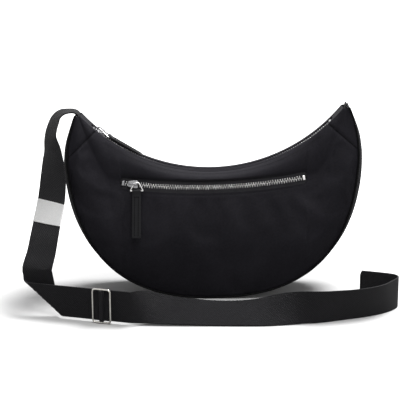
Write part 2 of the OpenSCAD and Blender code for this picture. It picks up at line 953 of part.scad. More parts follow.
// The straight run goes on past the buckle by this share, and its last stretch is this long
run_on_share = 0.9;
run_last_share = 0.4;
run_stop = buckle_at + run_on_share * strap_w * run_along;
floor_points = concat(
    [for (p = [run_stop - run_last_share * strap_w * run_along, run_stop]) [p.x, p.y]],
    [for (r = floor_shares) [r[0] * half_w, r[1] * buckle_y]]
);
floor_leans = concat([0, 0], [for (r = floor_shares) r[2]]);
// The run is lifted by the buckle and comes down to the floor over the next stretch
settle_rows = 3;
function run_lift(k) = buckle_clear * (1 - ease(min(max(k - 1, 0) / settle_rows, 1)));

// A smooth curve through a list of places
function curve(p, k) =
    let (
        last = len(p) - 1,
        i = min(floor(k), last - 1),
        t = k - i,
        a = p[max(i - 1, 0)],
        b = p[i],
        c = p[i + 1],
        d = p[min(i + 2, last)]
    )
    b + 0.5 * t * ((c - a) + t * ((2 * a - 5 * b + 4 * c - d) + t * (3 * (b - c) + d - a)));
slope_step = 0.02;
function slope(p, k) = curve(p, min(k + slope_step, len(p) - 1)) - curve(p, max(k - slope_step, 0));

// Cross line of the webbing at a place, from its back or upper edge to its front or lower edge
across_cells = 6;
function cross_line(p, w, share = 1) = [
    for (j = [0:across_cells]) p + share * strap_w * (j / across_cells - 0.5) * w
];
function drop_line(k) =
    let (
        along = unit(slope(drop_points, k)),
        turn = curve(drop_turns, k),
        hint = [sin(turn), -cos(turn), 0]
    )
    cross_line(curve(drop_points, k), unit(hint - (hint * along) * along), curve(drop_widths, k));
function floor_line(k) =
    let (
        p = curve(floor_points, k),
        along = unit(slope(floor_points, k)),
        back = [-along.y, along.x, 0],
        tilt = curve(floor_leans, k),
        up = cos(tilt) * [0, 0, 1] + sin(tilt) * back,
        low = [p.x, p.y, run_lift(k) + strap_t / 2 * sin(tilt)]
    )
    cross_line(low + strap_w / 2 * up, -up);
drop_steps = 3;
floor_steps = 3;
drop_count = len(drop_points) - 2;
floor_count = len(floor_points) - 1;
drop_lines = [for (i = [0:drop_count * drop_steps - 1]) drop_line(i / drop_steps)];
fold_lines = [
    for (i = [0:fold_steps])
        let (s = lerp(fold_start, fold_end, i / fold_steps))
        [for (j = [0:across_cells]) fold_point(s, strap_w * (j / across_cells - 0.5))]
];
run_lines = [
    for (t = [0.33, 0.66, 1])
        cross_line(lerp(run_start, run_stop, t), [0, 0, -1])
];
floor_lines = [for (i = [floor_steps + 1:floor_count * floor_steps]) floor_line(i / floor_steps)];
strap_lines = concat(drop_lines, fold_lines, run_lines, floor_lines);

// Outward normal of the webbing's grid at a place
function grid_normal(g, i, j) =
    let (
        last = len(g) - 1,
        wide = len(g[0]) - 1,
        along = g[min(i + 1, last)][j] - g[max(i - 1, 0)][j],
        over_line = g[i][min(j + 1, wide)] - g[i][max(j - 1, 0)]
    )
    unit(cross(along, over_line));
function offset_grid(g, d) = [
    for (i = [0:len(g) - 1])
        [for (j = [0:len(g[0]) - 1]) clamped(g[i][j] + d * grid_normal(g, i, j), 0)]
];

module strap() {
    color([0.13, 0.13, 0.14])
    sheet(offset_grid(strap_lines, -strap_t / 2), offset_grid(strap_lines, strap_t / 2));
}

// White band round the webbing, below the left horn
band_first = 10;
band_last = band_first + band_len / norm(drop_points[band_first + 1] - drop_points[band_first]);
band_steps = 6;
band_t = 0.4;
band_turn = band_skew / band_len * (band_last - band_first);
band_lines = [
    for (i = [0:band_steps])
        [for (j = [0:across_cells])
            drop_line(lerp(band_first, band_last, i / band_steps) + band_turn * (j / across_cells - 0.5))[j]]
];
module band_layer(side) {
    near = side * (strap_t / 2 + gap / 3);
    far = side * (strap_t / 2 + gap / 3 + band_t);
    sheet(offset_grid(band_lines, near), offset_grid(band_lines, far), side < 0);
}

module strap_band() {
    color([0.87, 0.87, 0.87]) {
        band_layer(1);
        band_layer(-1);
    }
}

// Folded and stitched hem of the free end, on the inside of the curl
hem_steps = 3;
hem_from = floor_count - hem_len / norm(floor_points[floor_count] - floor_points[floor_count - 1]);
hem_lines = [for (i = [0:hem_steps]) floor_line(lerp(hem_from, floor_count, i / hem_steps))];
module strap_hem() {
    near = -strap_t / 2 - gap / 3;
    color([0.1, 0.1, 0.11])
    sheet(offset_grid(hem_lines, near - strap_t), offset_grid(hem_lines, near));
}

// Short gathered end of webbing sewn into the right horn, in line with the middle of the horn
stub_in = 8;
stub_w_share = 0.61;
stub_from = 0.9;
module strap_stub() {
    low = fan_slice(stub_from, 1);
    middle = (low[0] + low[1]) / 2;
    axis = right_tip - leaned([middle.x, 0, middle.y]);
    stub_w = stub_w_share * strap_w;
    color([0.1, 0.1, 0.11])
    translate(right_tip)
    rotate([0, atan2(axis.x, axis.z), 0])
    translate([-strap_t / 2, -stub_w / 2, -stub_in])
    cube([strap_t, stub_w, stub_in + stub_len]);
}

// Buckle frame round the webbing, with X along the run, Y up and Z out to the front
buckle_h = strap_w + 2 * buckle_clear;
// The middle bar is of thinner wire than the frame
bar_share = 0.9;
buckle_z = strap_t / 2 + 2 * gap + strap_t + buckle_wire / 2;
module on_buckle() {
    translate(buckle_at)
    rotate([90, 0, -run_turn])
    children();
}

module buckle_frame() {
    x = (buckle_w - buckle_wire) / 2;
    y = (buckle_h - buckle_wire) / 2;
    cx = x - buckle_corner;
    cy = y - buckle_corner;
    color([0.82, 0.8, 0.77])
    on_buckle()
    translate([0, 0, buckle_z]) {
        for (side = [-1, 1]) {
            translate([side * x, 0, 0])
            rotate([90, 0, 0])
            cylinder(d = buckle_wire, h = 2 * cy, center = true);
            translate([0, side * y, 0])
            rotate([0, 90, 0])
            cylinder(d = buckle_wire, h = 2 * cx, center = true);
        }
        for (corner = [0:3])
            translate([cx * (corner == 0 || corner == 3 ? 1 : -1), cy * (corner < 2 ? 1 : -1), 0])
            rotate([0, 0, 90 * corner])
            rotate_extrude(angle = 90)
            translate([buckle_corner, 0])
            circle(d = buckle_wire);
        rotate([90, 0, 0])
        cylinder(d = bar_share * buckle_wire, h = 2 * y, center = true);
    }
}

// Loop of webbing over the middle bar, its two feet lying on the strap
module buckle_webbing() {
    r_in = buckle_wire / 2 + gap;
    r_out = r_in + strap_t;
    foot_z = strap_t / 2 + gap;
    foot_x = buckle_w / 2 - buckle_wire;
    color([0.13, 0.13, 0.14])
    on_buckle()
    rotate([-90, 0, 0])
    translate([0, 0, -strap_w / 2])
    mirror([0, 1, 0])
    linear_extrude(strap_w)
    union() {
        difference() {
            union() {
                translate([0, buckle_z])
                circle(r = r_out);
                translate([-r_out, foot_z])
                square([2 * r_out, buckle_z - foot_z]);
            }
            translate([0, buckle_z])
            circle(r = r_in);
            translate([-r_in, foot_z - over])
            square([2 * r_in, buckle_z - foot_z + over]);
        }
        for (side = [-1, 1])
            translate([side * (r_in + foot_x) / 2 - (foot_x - r_in) / 2, foot_z])
            square([foot_x - r_in, strap_t - gap]);
    }
}

front_panel();
front_horn_left();
front_horn_right();
back_panel();
back_horn_left();
back_horn_right();
gusset();
front_piping();
back_piping();
lining();
front_pocket_bag();
top_facing_front();
top_facing_back();
zip_end_tab_left();
zip_end_tab_right();
top_tape_front();
top_tape_back();
top_teeth_front();
top_teeth_back();
top_zip_stops();
top_slider();
top_pull_ring();
top_pull_tab();
front_tape_upper();
front_tape_lower();
front_teeth_upper();
front_teeth_lower();
front_zip_stops();
front_slider();
front_pull_ring();
front_pull_tab();
strap();
strap_band();
strap_hem();
strap_stub();
buckle_frame();
buckle_webbing();
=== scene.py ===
# %% [markdown]
# # A half-moon shoulder bag
# The bag stands on its round bottom, with its webbing strap laid out on the floor in front of it.
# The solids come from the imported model, and this lesson dresses them: each soft solid gets a cloth
# piece of its own in the same place, and the metal parts get finer copies of themselves.

import math

import bpy
from mathutils import Matrix, Vector, noise


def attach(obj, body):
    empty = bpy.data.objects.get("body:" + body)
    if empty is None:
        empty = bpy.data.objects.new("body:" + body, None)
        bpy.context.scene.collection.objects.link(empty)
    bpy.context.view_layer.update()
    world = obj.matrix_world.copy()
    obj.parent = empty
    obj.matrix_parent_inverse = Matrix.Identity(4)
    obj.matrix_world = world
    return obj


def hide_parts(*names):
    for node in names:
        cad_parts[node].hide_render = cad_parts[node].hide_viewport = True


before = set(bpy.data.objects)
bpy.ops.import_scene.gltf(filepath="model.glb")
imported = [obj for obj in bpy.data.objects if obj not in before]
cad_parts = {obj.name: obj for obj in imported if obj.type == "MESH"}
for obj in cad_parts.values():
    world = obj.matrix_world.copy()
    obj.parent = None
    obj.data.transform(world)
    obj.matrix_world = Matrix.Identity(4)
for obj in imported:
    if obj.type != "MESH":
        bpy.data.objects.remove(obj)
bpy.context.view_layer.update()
MM = 0.001

# %% [markdown]
# ## Camera
# The picture was taken with a long lens from a little above, so the camera stands 1.5 m away and
# looks down by 15 degrees. A long lens keeps the two horns nearly the same size.

# %% Camera
CAMERA_AT = (-0.002, -1.5, 0.51)
CAMERA_DOWN = 15.05
FOCAL_PIXELS = 1241
IMAGE_PIXELS = 415
SENSOR = 36

bpy.ops.object.select_all(action="DESELECT")
bpy.ops.object.camera_add(location=CAMERA_AT, rotation=(math.radians(90 - CAMERA_DOWN), 0, 0))
camera = bpy.context.object
camera.name = "camera"
camera.data.sensor_width = SENSOR
camera.data.lens = FOCAL_PIXELS / IMAGE_PIXELS * SENSOR
camera.data.clip_start = 0.05
bpy.context.scene.camera = camera
print("lens", round(camera.data.lens, 2), "mm")

# %% [markdown]
# ## Node helpers
# Every finish here is procedural, because a picture of cloth would have to be fitted to each piece and
# would blur close up. These short helpers add a node and join its sockets, so that a material reads as
# a list of what it is made of.


# %% Node helpers
def new_material(name):
    material = bpy.data.materials.new(name)
    material.use_nodes = True
    return material, material.node_tree, material.node_tree.nodes["Principled BSDF"]


def add_node(tree, kind, **settings):
    node = tree.nodes.new("ShaderNode" + kind)
    for key, value in settings.items():
        if key in node.inputs:
            node.inputs[key].default_value = value
        else:
            setattr(node, key, value)
    return node


def set_sockets(node, values):
    for socket, value in values.items():
        node.inputs[socket].default_value = value


def math_node(tree, operation, first, second=0.0):
    node = tree.nodes.new("ShaderNodeMath")
    node.operation = operation
    for socket, value in zip(node.inputs, (first, second)):
        if isinstance(value, bpy.types.NodeSocket):
            tree.links.new(value, socket)
        else:
            socket.default_value = value
    return node.outputs[0]


def weighed(tree, value, weight, plus):
    """A value times its weight, added to another value."""
    return math_node(tree, "ADD", math_node(tree, "MULTIPLY", value, weight), plus)


def texture(tree, kind, coords, output, **settings):
    """One output of a texture node that reads the given coordinates."""
    node = add_node(tree, kind, **settings)
    tree.links.new(coords, node.inputs["Vector"])
    return node.outputs[output]


def colour_between(tree, shader, factor, dark, light, low, high):
    """Base colour from dark to light as the factor goes from low to high."""
    node = tree.nodes.new("ShaderNodeValToRGB")
    for element, place, colour in zip(node.color_ramp.elements, (low, high), (dark, light)):
        element.position = place
        element.color = (*colour, 1)
    tree.links.new(factor, node.inputs["Fac"])
    tree.links.new(node.outputs["Color"], shader.inputs["Base Color"])


def raise_by(tree, shader, height, strength, depth):
    """Bump from a height of about 0 to 1, which stands for a depth in metres."""
    relief = add_node(tree, "Bump", Strength=strength, Distance=depth)
    tree.links.new(height, relief.inputs["Height"])
    tree.links.new(relief.outputs["Normal"], shader.inputs["Normal"])


# %% [markdown]
# ## Studio
# A plain white floor carries the soft shadow. One lamp hangs high behind the bag at the right and gives
# that shadow, and a broad one in front lights the cloth. The world is white to the camera and to
# reflections, and a plain grey light otherwise. A white floor throws much light up at a black bag, so
# the floor is darker for bounced light than for the camera. Away from the bag it glows for the camera
# alone, which makes the backdrop white without any more light on the bag, and the shadow stays.

# %% Floor
FLOOR_SIZE, FLOOR_BACK, FLOOR_DROP = 12, 2, 0.0004
FLOOR_SEEN, FLOOR_BOUNCE = 0.66, 0.34
# Strength of the glow beside the bag, and where it starts and is full, in metres from this place
GLOW_LEAST, GLOW_START, GLOW_FULL = 0.02, 0.17, 0.45
GLOW_AT = (0, -0.1)
bpy.ops.mesh.primitive_plane_add(size=FLOOR_SIZE, location=(0, FLOOR_BACK, -FLOOR_DROP))
floor = bpy.context.object
floor.name = "floor"
floor_finish, floor_tree, floor_shader = new_material("floor_white")
set_sockets(floor_shader, {"Roughness": 0.9, "Specular IOR Level": 0.1, "Emission Color": (1, 1, 1, 1)})
floor_path = add_node(floor_tree, "LightPath")
pale = math_node(floor_tree, "MULTIPLY", floor_path.outputs["Is Camera Ray"], FLOOR_SEEN - FLOOR_BOUNCE)
floor_tree.links.new(math_node(floor_tree, "ADD", pale, FLOOR_BOUNCE), floor_shader.inputs["Base Color"])
floor_place = add_node(floor_tree, "TexCoord").outputs["Object"]
away = add_node(floor_tree, "VectorMath", operation="DISTANCE")
floor_tree.links.new(floor_place, away.inputs[0])
away.inputs[1].default_value = (GLOW_AT[0], GLOW_AT[1] - FLOOR_BACK, 0)
white_out = add_node(floor_tree, "MapRange", interpolation_type="SMOOTHSTEP")
floor_tree.links.new(away.outputs["Value"], white_out.inputs["Value"])
glow_range = {"From Min": GLOW_START, "From Max": GLOW_FULL, "To Min": GLOW_LEAST, "To Max": 1.0}
set_sockets(white_out, glow_range)
glow = math_node(floor_tree, "MULTIPLY", floor_path.outputs["Is Camera Ray"], white_out.outputs["Result"])
floor_tree.links.new(glow, floor_shader.inputs["Emission Strength"])
floor.data.materials.append(floor_finish)
print("floor", FLOOR_SIZE, "m, white from", GLOW_FULL, "m outwards")

# %% World and lamps
WORLD_GREY = 0.27
world = bpy.data.worlds.new("studio")
bpy.context.scene.world = world
world.use_nodes = True
sky_tree = world.node_tree
sky = sky_tree.nodes["Background"]
sky.inputs["Color"].default_value = (1, 1, 1, 1)
sky_path = add_node(sky_tree, "LightPath")
seen = math_node(sky_tree, "MAXIMUM", sky_path.outputs["Is Camera Ray"], sky_path.outputs["Is Glossy Ray"])
seen = math_node(sky_tree, "MAXIMUM", seen, sky_path.outputs["Is Transmission Ray"])
plain = math_node(sky_tree, "MULTIPLY", math_node(sky_tree, "SUBTRACT", 1.0, seen), WORLD_GREY)
sky_tree.links.new(math_node(sky_tree, "ADD", seen, plain), sky.inputs["Strength"])


def add_lamp(name, place, target, size, power):
    bpy.ops.object.light_add(type="AREA", location=place)
    lamp = bpy.context.object
    lamp.name = name
    lamp.data.energy = power
    lamp.data.size = size
    lamp.rotation_euler = (Vector(target) - Vector(place)).to_track_quat("-Z", "Y").to_euler()
    print(name, power, "W,", size, "m wide")


add_lamp("lamp_front", (0.3, -0.95, 2.0), (0, 0, 0.1), 1.0, 23)
add_lamp("lamp_top", (0.5, 0.35, 1.55), (-0.05, -0.05, 0.05), 0.7, 38)
bpy.context.scene.view_settings.view_transform = "Standard"

# %% [markdown]
# ## The paper pattern
# All cloth pieces are cut from the same few curves: the round outline, the arc of the mouth and the
# arc of the front window. The cloth could be traced from the solids' meshes, but those have no order
# that a weave could follow. So the pattern is drawn again from the solid model's own numbers, in
# millimetres, and each cloth piece lies exactly where its solid is.

# %% Pattern sizes
BAG_W, BAG_D, BELLY_Z, MOUTH_Z = 370, 76, 187, 156
OUTLINE_POWER, FLOOR_PRESS, HORN_ROUND, HORN_REACH, HORN_TIP = 2.5, 1.6, 120, 14.3, 12
LEFT_TUCK, RIGHT_TUCK, TUCK_FROM, TUCK_TO = 5.8, 4.4, 0.66, 0.92
LEAN, CLOTH, GAP, CROWN, BULGE, PIPING = 1.8, 1.6, 0.3, 11.5, 12, 2.6
MOUTH_HALF, TAPE_SHOW, END_TAB = 11, 6, 18
WINDOW_W, WINDOW_H, WINDOW_SAG, WINDOW_Z, WINDOW_Y, WINDOW_TILT = 231, 15, 9, 139.8, 27.5, 19.4
STRAP_W, STRAP_T = 38, 1.7
PIVOT_SHARE, TIP_SHARE, TIP_DROP_SHARE, SWELL_SHARE, HORN_SWELL_SHARE = 1.7, 1.05, 0.11, 0.92, 0.3
PIVOT = BELLY_Z * PIVOT_SHARE
HALF_W = BAG_W / 2
LOWER = BELLY_Z + FLOOR_PRESS
MOUTH_EDGE = MOUTH_HALF + CLOTH + GAP
TIP_HALF = TIP_SHARE * MOUTH_EDGE
FAN, WINDOW_CELLS, WINDOW_MARGIN = 12, 16, 12.5
FAN_X = WINDOW_W / 2 + WINDOW_MARGIN
STATIONS = 2 * FAN + WINDOW_CELLS + 2
WINDOW_FIRST = FAN + 1
WINDOW_LAST = STATIONS - WINDOW_FIRST
SEAM_LEFT, SEAM_RIGHT = 3, STATIONS - 3
print("bag", BAG_W, "mm wide, cut at", STATIONS, "stations")


def lerp(a, b, t):
    return a + (b - a) * t


def ease(t):
    t = max(0.0, min(1.0, t))
    return t * t * (3 - 2 * t)


def leaned(x, y, z):
    """A place of the upright pattern, in metres, after the bag's slight sideways lean."""
    s, c = math.sin(math.radians(LEAN)), math.cos(math.radians(LEAN))
    return Vector((x * c - (z - PIVOT) * s, y, PIVOT + x * s + (z - PIVOT) * c)) * MM


# %% Outline, mouth and window curves
def outline_at(angle):
    s, c = math.sin(math.radians(angle)), math.cos(math.radians(angle))
    p, h = (2, HORN_ROUND) if s > 0 else (OUTLINE_POWER, LOWER)
    r = ((abs(c) / HALF_W) ** p + (abs(s) / h) ** p) ** (-1 / p)
    return r * c, BELLY_Z + r * s


HORN_OUT = outline_at(HORN_REACH)
HORN_IN = (HORN_OUT[0] - HORN_TIP, HORN_OUT[1] - TIP_DROP_SHARE * HORN_TIP)
MOUTH_RISE = HORN_IN[1] - MOUTH_Z
MOUTH_R = (HORN_IN[0] ** 2 + MOUTH_RISE**2) / (2 * MOUTH_RISE)
MOUTH_C = MOUTH_Z + MOUTH_R
MOUTH_ANGLE = math.degrees(math.atan2(HORN_IN[0], MOUTH_R - MOUTH_RISE))
WINDOW_R = (WINDOW_W**2 / 4 + WINDOW_SAG**2) / (2 * WINDOW_SAG)
WINDOW_ANGLE = math.degrees(math.asin(WINDOW_W / 2 / WINDOW_R))


def turn_share(angle):
    return (angle + 90) / (HORN_REACH + 90)


def lower_z(x):
    return BELLY_Z - LOWER * (1 - (abs(x) / HALF_W) ** OUTLINE_POWER) ** (1 / OUTLINE_POWER)


FAN_LOW = math.degrees(math.atan2(lower_z(FAN_X) - BELLY_Z, FAN_X))
FAN_TOP = math.degrees(math.asin(FAN_X / MOUTH_R))


def middle_slice(x):
    z = lower_z(x)
    turn = abs(turn_share(math.degrees(math.atan2(z - BELLY_Z, abs(x)))))
    return (x, MOUTH_C - math.sqrt(MOUTH_R**2 - x * x)), (x, z), turn, 0


def fan_slice(k, side):
    t = math.radians(lerp(FAN_TOP, MOUTH_ANGLE, k**3))
    a = lerp(FAN_LOW, HORN_REACH, k)
    x, z = outline_at(a)
    x -= (RIGHT_TUCK if side > 0 else LEFT_TUCK) * ease((k - TUCK_FROM) / (TUCK_TO - TUCK_FROM))
    return (side * MOUTH_R * math.sin(t), MOUTH_C - MOUTH_R * math.cos(t)), (side * x, z), turn_share(a), k


def slice_at(i):
    """A slice from mouth to outline at station i, from the left horn tip to the right one."""
    half = STATIONS / 2
    side = -1 if i < half else 1
    j = min(i, STATIONS - i)
    if j < FAN:
        return fan_slice((FAN - j) / FAN, side)
    if j < WINDOW_FIRST:
        return middle_slice(side * lerp(FAN_X, WINDOW_W / 2, j - FAN))
    return middle_slice(side * lerp(WINDOW_W / 2, 0, (j - WINDOW_FIRST) / (WINDOW_CELLS / 2)))


def seam_half(s):
    return lerp(BAG_D / 2, TIP_HALF, s[2] ** 3)


CROWN_LOW, CROWN_FULL, TIP_FADE = 3, 0.8, 0.97


def crown_at(s):
    return lerp(CROWN_LOW, CROWN, ease(s[2] / CROWN_FULL)) * (1 - TIP_FADE * s[2] ** 4)


def inward(s, d):
    v = Vector((-s[1][0], BELLY_Z - s[1][1])).normalized()
    return s[1][0] + d * v.x, s[1][1] + d * v.y


def panel_low(s):
    """Lower edge of the front and back cloth, beside the piping."""
    return inward(s, crown_at(s) + PIPING / 2 + GAP)


def window_up(x, d):
    return WINDOW_R - math.sqrt((WINDOW_R - d) ** 2 - x * x)


def window_row(s, d):
    """Share from mouth to seam, and half depth, of a line d up the slope from the window's middle."""
    x = max(-FAN_X, min(FAN_X, s[1][0]))
    m = middle_slice(x)
    up = window_up(x, d)
    z = WINDOW_Z + up * math.cos(math.radians(WINDOW_TILT))
    share = (m[0][1] - z) / (m[0][1] - panel_low(m)[1])
    y = WINDOW_Y - up * math.sin(math.radians(WINDOW_TILT))
    return share, lerp(y, lerp(MOUTH_EDGE, seam_half(s), HORN_SWELL_SHARE), s[3])


# %% A point of the front or the back
END_FLAT, END_ROUND = 2.2, 5.3


def window_half_height(x):
    """Half height of the window, rounded off at its two ends."""
    past = (abs(x) - (WINDOW_W / 2 - END_ROUND)) / END_ROUND
    if past <= 0:
        return WINDOW_H / 2
    return END_FLAT + (WINDOW_H / 2 - END_FLAT) * math.sqrt(max(0, 1 - min(past, 1) ** 2))


def slice_place(s, low, share, y):
    """A place at a share of the way from the mouth to the point low of a slice, and y deep."""
    return leaned(lerp(s[0][0], low[0], share), y, lerp(s[0][1], low[1], share))


def panel_place(i, v, side, d=0.0):
    """Point of the cloth at station i and row v: 0 mouth, 1 and 2 window edges, 3 seam."""
    s = slice_at(i)
    half = window_half_height(s[1][0]) if side < 0 else WINDOW_H / 2
    upper, upper_d = window_row(s, half)
    lower, lower_d = window_row(s, -half)
    if v <= 1:
        share = upper * v
        mid = lerp(MOUTH_EDGE, upper_d, SWELL_SHARE)
        deep = (1 - v) * (1 - 2 * v) * MOUTH_EDGE + 4 * v * (1 - v) * mid + v * (2 * v - 1) * upper_d
    elif v <= 2:
        share, deep = lerp(upper, lower, v - 1), lerp(upper_d, lower_d, v - 1)
    else:
        t = v - 2
        share = lerp(lower, 1, t)
        swell = BULGE * (1 - s[2] ** 2) * math.sin(math.pi * t)
        deep = lerp(lower_d, seam_half(s), t) + swell
    return slice_place(s, panel_low(s), share, side * (deep - d))


print("mouth radius", round(MOUTH_R, 1), "window radius", round(WINDOW_R, 1), "mm")

# %% [markdown]
# ## Cloth patches
# A sewn cloth piece is a sheet with two directions, so each one starts as Blender's grid, whose
# points are then laid along the pattern. A box cut by many loops would also do, but its inner and
# outer faces would have to be kept a cloth's thickness apart by hand. The UV map is kept in metres,
# which lets one weave have the same size on every piece. Solidify gives the cloth its thickness, and a
# small bevel rounds its edges.


# %% Lay a grid along lines
def select_only(*objects):
    bpy.ops.object.select_all(action="DESELECT")
    for obj in objects:
        obj.select_set(True)
    bpy.context.view_layer.objects.active = objects[0]


def lay_grid(name, lines):
    """A grid whose points are laid on the given lines, from the lower edge up, each left to right."""
    across, along = len(lines) - 1, len(lines[0]) - 1
    bpy.ops.object.select_all(action="DESELECT")
    bpy.ops.mesh.primitive_grid_add(x_subdivisions=along, y_subdivisions=across, size=1)
    patch = bpy.context.object
    patch.name = patch.data.name = name
    flat = [c for line in lines for p in line for c in p]
    patch.data.vertices.foreach_set("co", flat)
    middle = lines[across // 2]
    u = [0.0]
    for a, b in zip(middle, middle[1:]):
        u.append(u[-1] + (b - a).length)
    column = along // 2
    w = [0.0]
    for a, b in zip(lines, lines[1:]):
        w.append(w[-1] + (b[column] - a[column]).length)
    layer = patch.data.uv_layers.active.data
    for loop in patch.data.loops:
        row, col = divmod(loop.vertex_index, along + 1)
        layer[loop.index].uv = (u[col], w[row])
    patch.data.update()
    return patch


# %% Thicken, round and sew in a piece
def apply_all(obj):
    select_only(obj)
    for modifier in list(obj.modifiers):
        bpy.ops.object.modifier_apply(modifier=modifier.name)


def smooth_by_angle(obj, degrees):
    select_only(obj)
    bpy.ops.object.shade_smooth_by_angle(angle=math.radians(degrees))


def add_bevel(obj, width, segments, sharper_than):
    edge = obj.modifiers.new("rounding", "BEVEL")
    edge.width = width * MM
    edge.segments = segments
    edge.limit_method = "ANGLE"
    edge.angle_limit = math.radians(sharper_than)


def thicken(obj, thickness, rounding, offset=-1.0):
    """Gives a sheet its thickness, below its face or, with offset 0, on both sides of it."""
    solid = obj.modifiers.new("thickness", "SOLIDIFY")
    solid.thickness = thickness * MM
    solid.offset = offset
    solid.use_even_offset = False
    add_bevel(obj, rounding, 2, 50)
    apply_all(obj)
    smooth_by_angle(obj, 40)


def sew_in(obj, material, body, *nodes):
    """Gives a finished piece its material, its body and the solids that it stands for."""
    obj.data.materials.clear()
    obj.data.materials.append(material)
    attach(obj, body)
    if nodes:
        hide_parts(*nodes)
    print(obj.name, len(obj.data.polygons), "faces")
    return obj


# %% [markdown]
# ## Finishes
# The bag is matt black nylon with a very faint sheen, so its weave is only seen close up, as a fine
# bump. The threads could be modelled, but there are hundreds of thousands of them, so two waves across
# each other stand for them. Slow noise varies depth and roughness, as on a bag that has been handled.


# %% Woven cloth
def wave(tree, value, turn):
    return math_node(tree, "SINE", math_node(tree, "MULTIPLY", value, turn))


def woven(name, dark, light, pitch, roughness, bump, sheen, rib=1.0):
    """A plain weave on the metre-sized UV map: over and under threads, pitch apart in millimetres."""
    material, tree, shader = new_material(name)
    uv = add_node(tree, "UVMap").outputs["UV"]
    coords = add_node(tree, "TexCoord").outputs["Object"]
    split = add_node(tree, "SeparateXYZ")
    tree.links.new(uv, split.inputs[0])
    turn = 2 * math.pi / (pitch * MM)
    warp = wave(tree, split.outputs["X"], turn)
    weft = wave(tree, split.outputs["Y"], turn * rib)
    over = math_node(tree, "MULTIPLY", warp, weft)
    slow = texture(tree, "TexNoise", coords, "Fac", Scale=14.0, Detail=3.0)
    fine = texture(tree, "TexNoise", coords, "Fac", Scale=420.0, Detail=2.0)
    shade = weighed(tree, fine, 0.3, weighed(tree, slow, 0.7, math_node(tree, "MULTIPLY", over, 0.07)))
    colour_between(tree, shader, shade, dark, light, 0.3, 0.7)
    spread_of_rough = 0.18
    rough = weighed(tree, slow, spread_of_rough, roughness - spread_of_rough / 2)
    tree.links.new(rough, shader.inputs["Roughness"])
    raise_by(tree, shader, weighed(tree, fine, 0.8, over), bump, 0.0002)
    set_sockets(shader, {"Sheen Weight": sheen, "Sheen Roughness": 0.45, "Specular IOR Level": 0.08})
    return material


# Name, darkest and lightest colour, thread pitch in mm, roughness, bump, sheen, and ribs for the tape
NYLON = woven("nylon_black", (0.0068, 0.0064, 0.0088), (0.0182, 0.0171, 0.0215), 0.55, 0.6, 0.35, 0.02)
# The gusset gets a darker copy of the same nylon, as painted shade on the bag's sides and bottom
SHADED_GUSSET_NYLON = woven("nylon_gusset_shaded", (0.0068, 0.0064, 0.0086), (0.0135, 0.0128, 0.0165), 0.55, 0.62,
                     0.35, 0.02)
BINDING = woven("binding_black", (0.002, 0.002, 0.0024), (0.005, 0.005, 0.0056), 0.7, 0.6, 0.5, 0.01)
LINING = woven("lining_grey", (0.018, 0.018, 0.022), (0.034, 0.034, 0.038), 0.4, 0.8, 0.3, 0.1)
TAPE = woven("zip_tape_black", (0.02, 0.0195, 0.022), (0.038, 0.0375, 0.041), 0.9, 0.8, 0.8, 0.03, 0.6)
BAND = woven("band_white", (0.66, 0.66, 0.655), (0.76, 0.76, 0.755), 0.8, 0.85, 0.4, 0.05)
print("woven", [m.name for m in (NYLON, SHADED_GUSSET_NYLON, BINDING, LINING, TAPE, BAND)])

# %% [markdown]
# ## Webbing
# The strap is a heavy ribbed webbing. Its ribs cross the strap at a steep slant, which is a twill.
# Modelled ribs would be thousands of small folds, so the pattern is one slanted wave along the UV map,
# which follows the strap through all its bends. Noise breaks it, so that it doesn't look printed.


# %% Webbing finish
RIB_PITCH, RIB_SLANT, THREADS_PER_RIB = 2.2, 0.8, 3.2


def webbing(name, dark, light):
    material, tree, shader = new_material(name)
    uv = add_node(tree, "UVMap").outputs["UV"]
    coords = add_node(tree, "TexCoord").outputs["Object"]
    split = add_node(tree, "SeparateXYZ")
    tree.links.new(uv, split.inputs[0])
    turn = 2 * math.pi / (RIB_PITCH * MM)
    u = math_node(tree, "MULTIPLY", split.outputs["X"], turn)
    rib = math_node(tree, "SINE", weighed(tree, split.outputs["Y"], turn * RIB_SLANT, u))
    thread = wave(tree, split.outputs["Y"], turn * THREADS_PER_RIB)
    slow = texture(tree, "TexNoise", coords, "Fac", Scale=22.0, Detail=3.0)
    fine = texture(tree, "TexNoise", coords, "Fac", Scale=600.0, Detail=2.0)
    shade = weighed(tree, fine, 0.3, weighed(tree, slow, 0.35, weighed(tree, rib, 0.3, 0.15)))
    colour_between(tree, shader, shade, dark, light, 0.25, 0.8)
    raise_by(tree, shader, weighed(tree, thread, 0.35, rib), 0.9, 0.0004)
    gloss = {"Roughness": 0.55, "Specular IOR Level": 0.15, "Sheen Weight": 0.02, "Sheen Roughness": 0.4}
    set_sockets(shader, gloss)
    return material


WEBBING = webbing("webbing_black", (0.0045, 0.0043, 0.0052), (0.0165, 0.016, 0.0185))
print(WEBBING.name, "with ribs", RIB_PITCH, "mm apart")

# %% [markdown]
# ## Leather, thread and metal
# The pull tabs are black leather with a fine pebble grain, which Blender's Voronoi texture gives as bump. The
# zips are polished nickel, whose roughness wanders a little where fingers rub it. The sliders are a darker
# nickel than the teeth, and the left end stops beside them wear that darker nickel as painted shade. The
# thread is a soft black twist.


# %% Leather
def leather(name, dark, light):
    material, tree, shader = new_material(name)
    coords = add_node(tree, "TexCoord").outputs["Object"]
    pebbles = texture(tree, "TexVoronoi", coords, "Distance", Scale=900.0)
    slow = texture(tree, "TexNoise", coords, "Fac", Scale=60.0, Detail=4.0)
    colour_between(tree, shader, slow, dark, light, 0.3, 0.75)
    tree.links.new(weighed(tree, slow, 0.25, 0.33), shader.inputs["Roughness"])
    raise_by(tree, shader, pebbles, 0.35, 0.00015)
    set_sockets(shader, {"Specular IOR Level": 0.15})
    return material


LEATHER = leather("leather_black", (0.006, 0.006, 0.007), (0.011, 0.011, 0.0125))


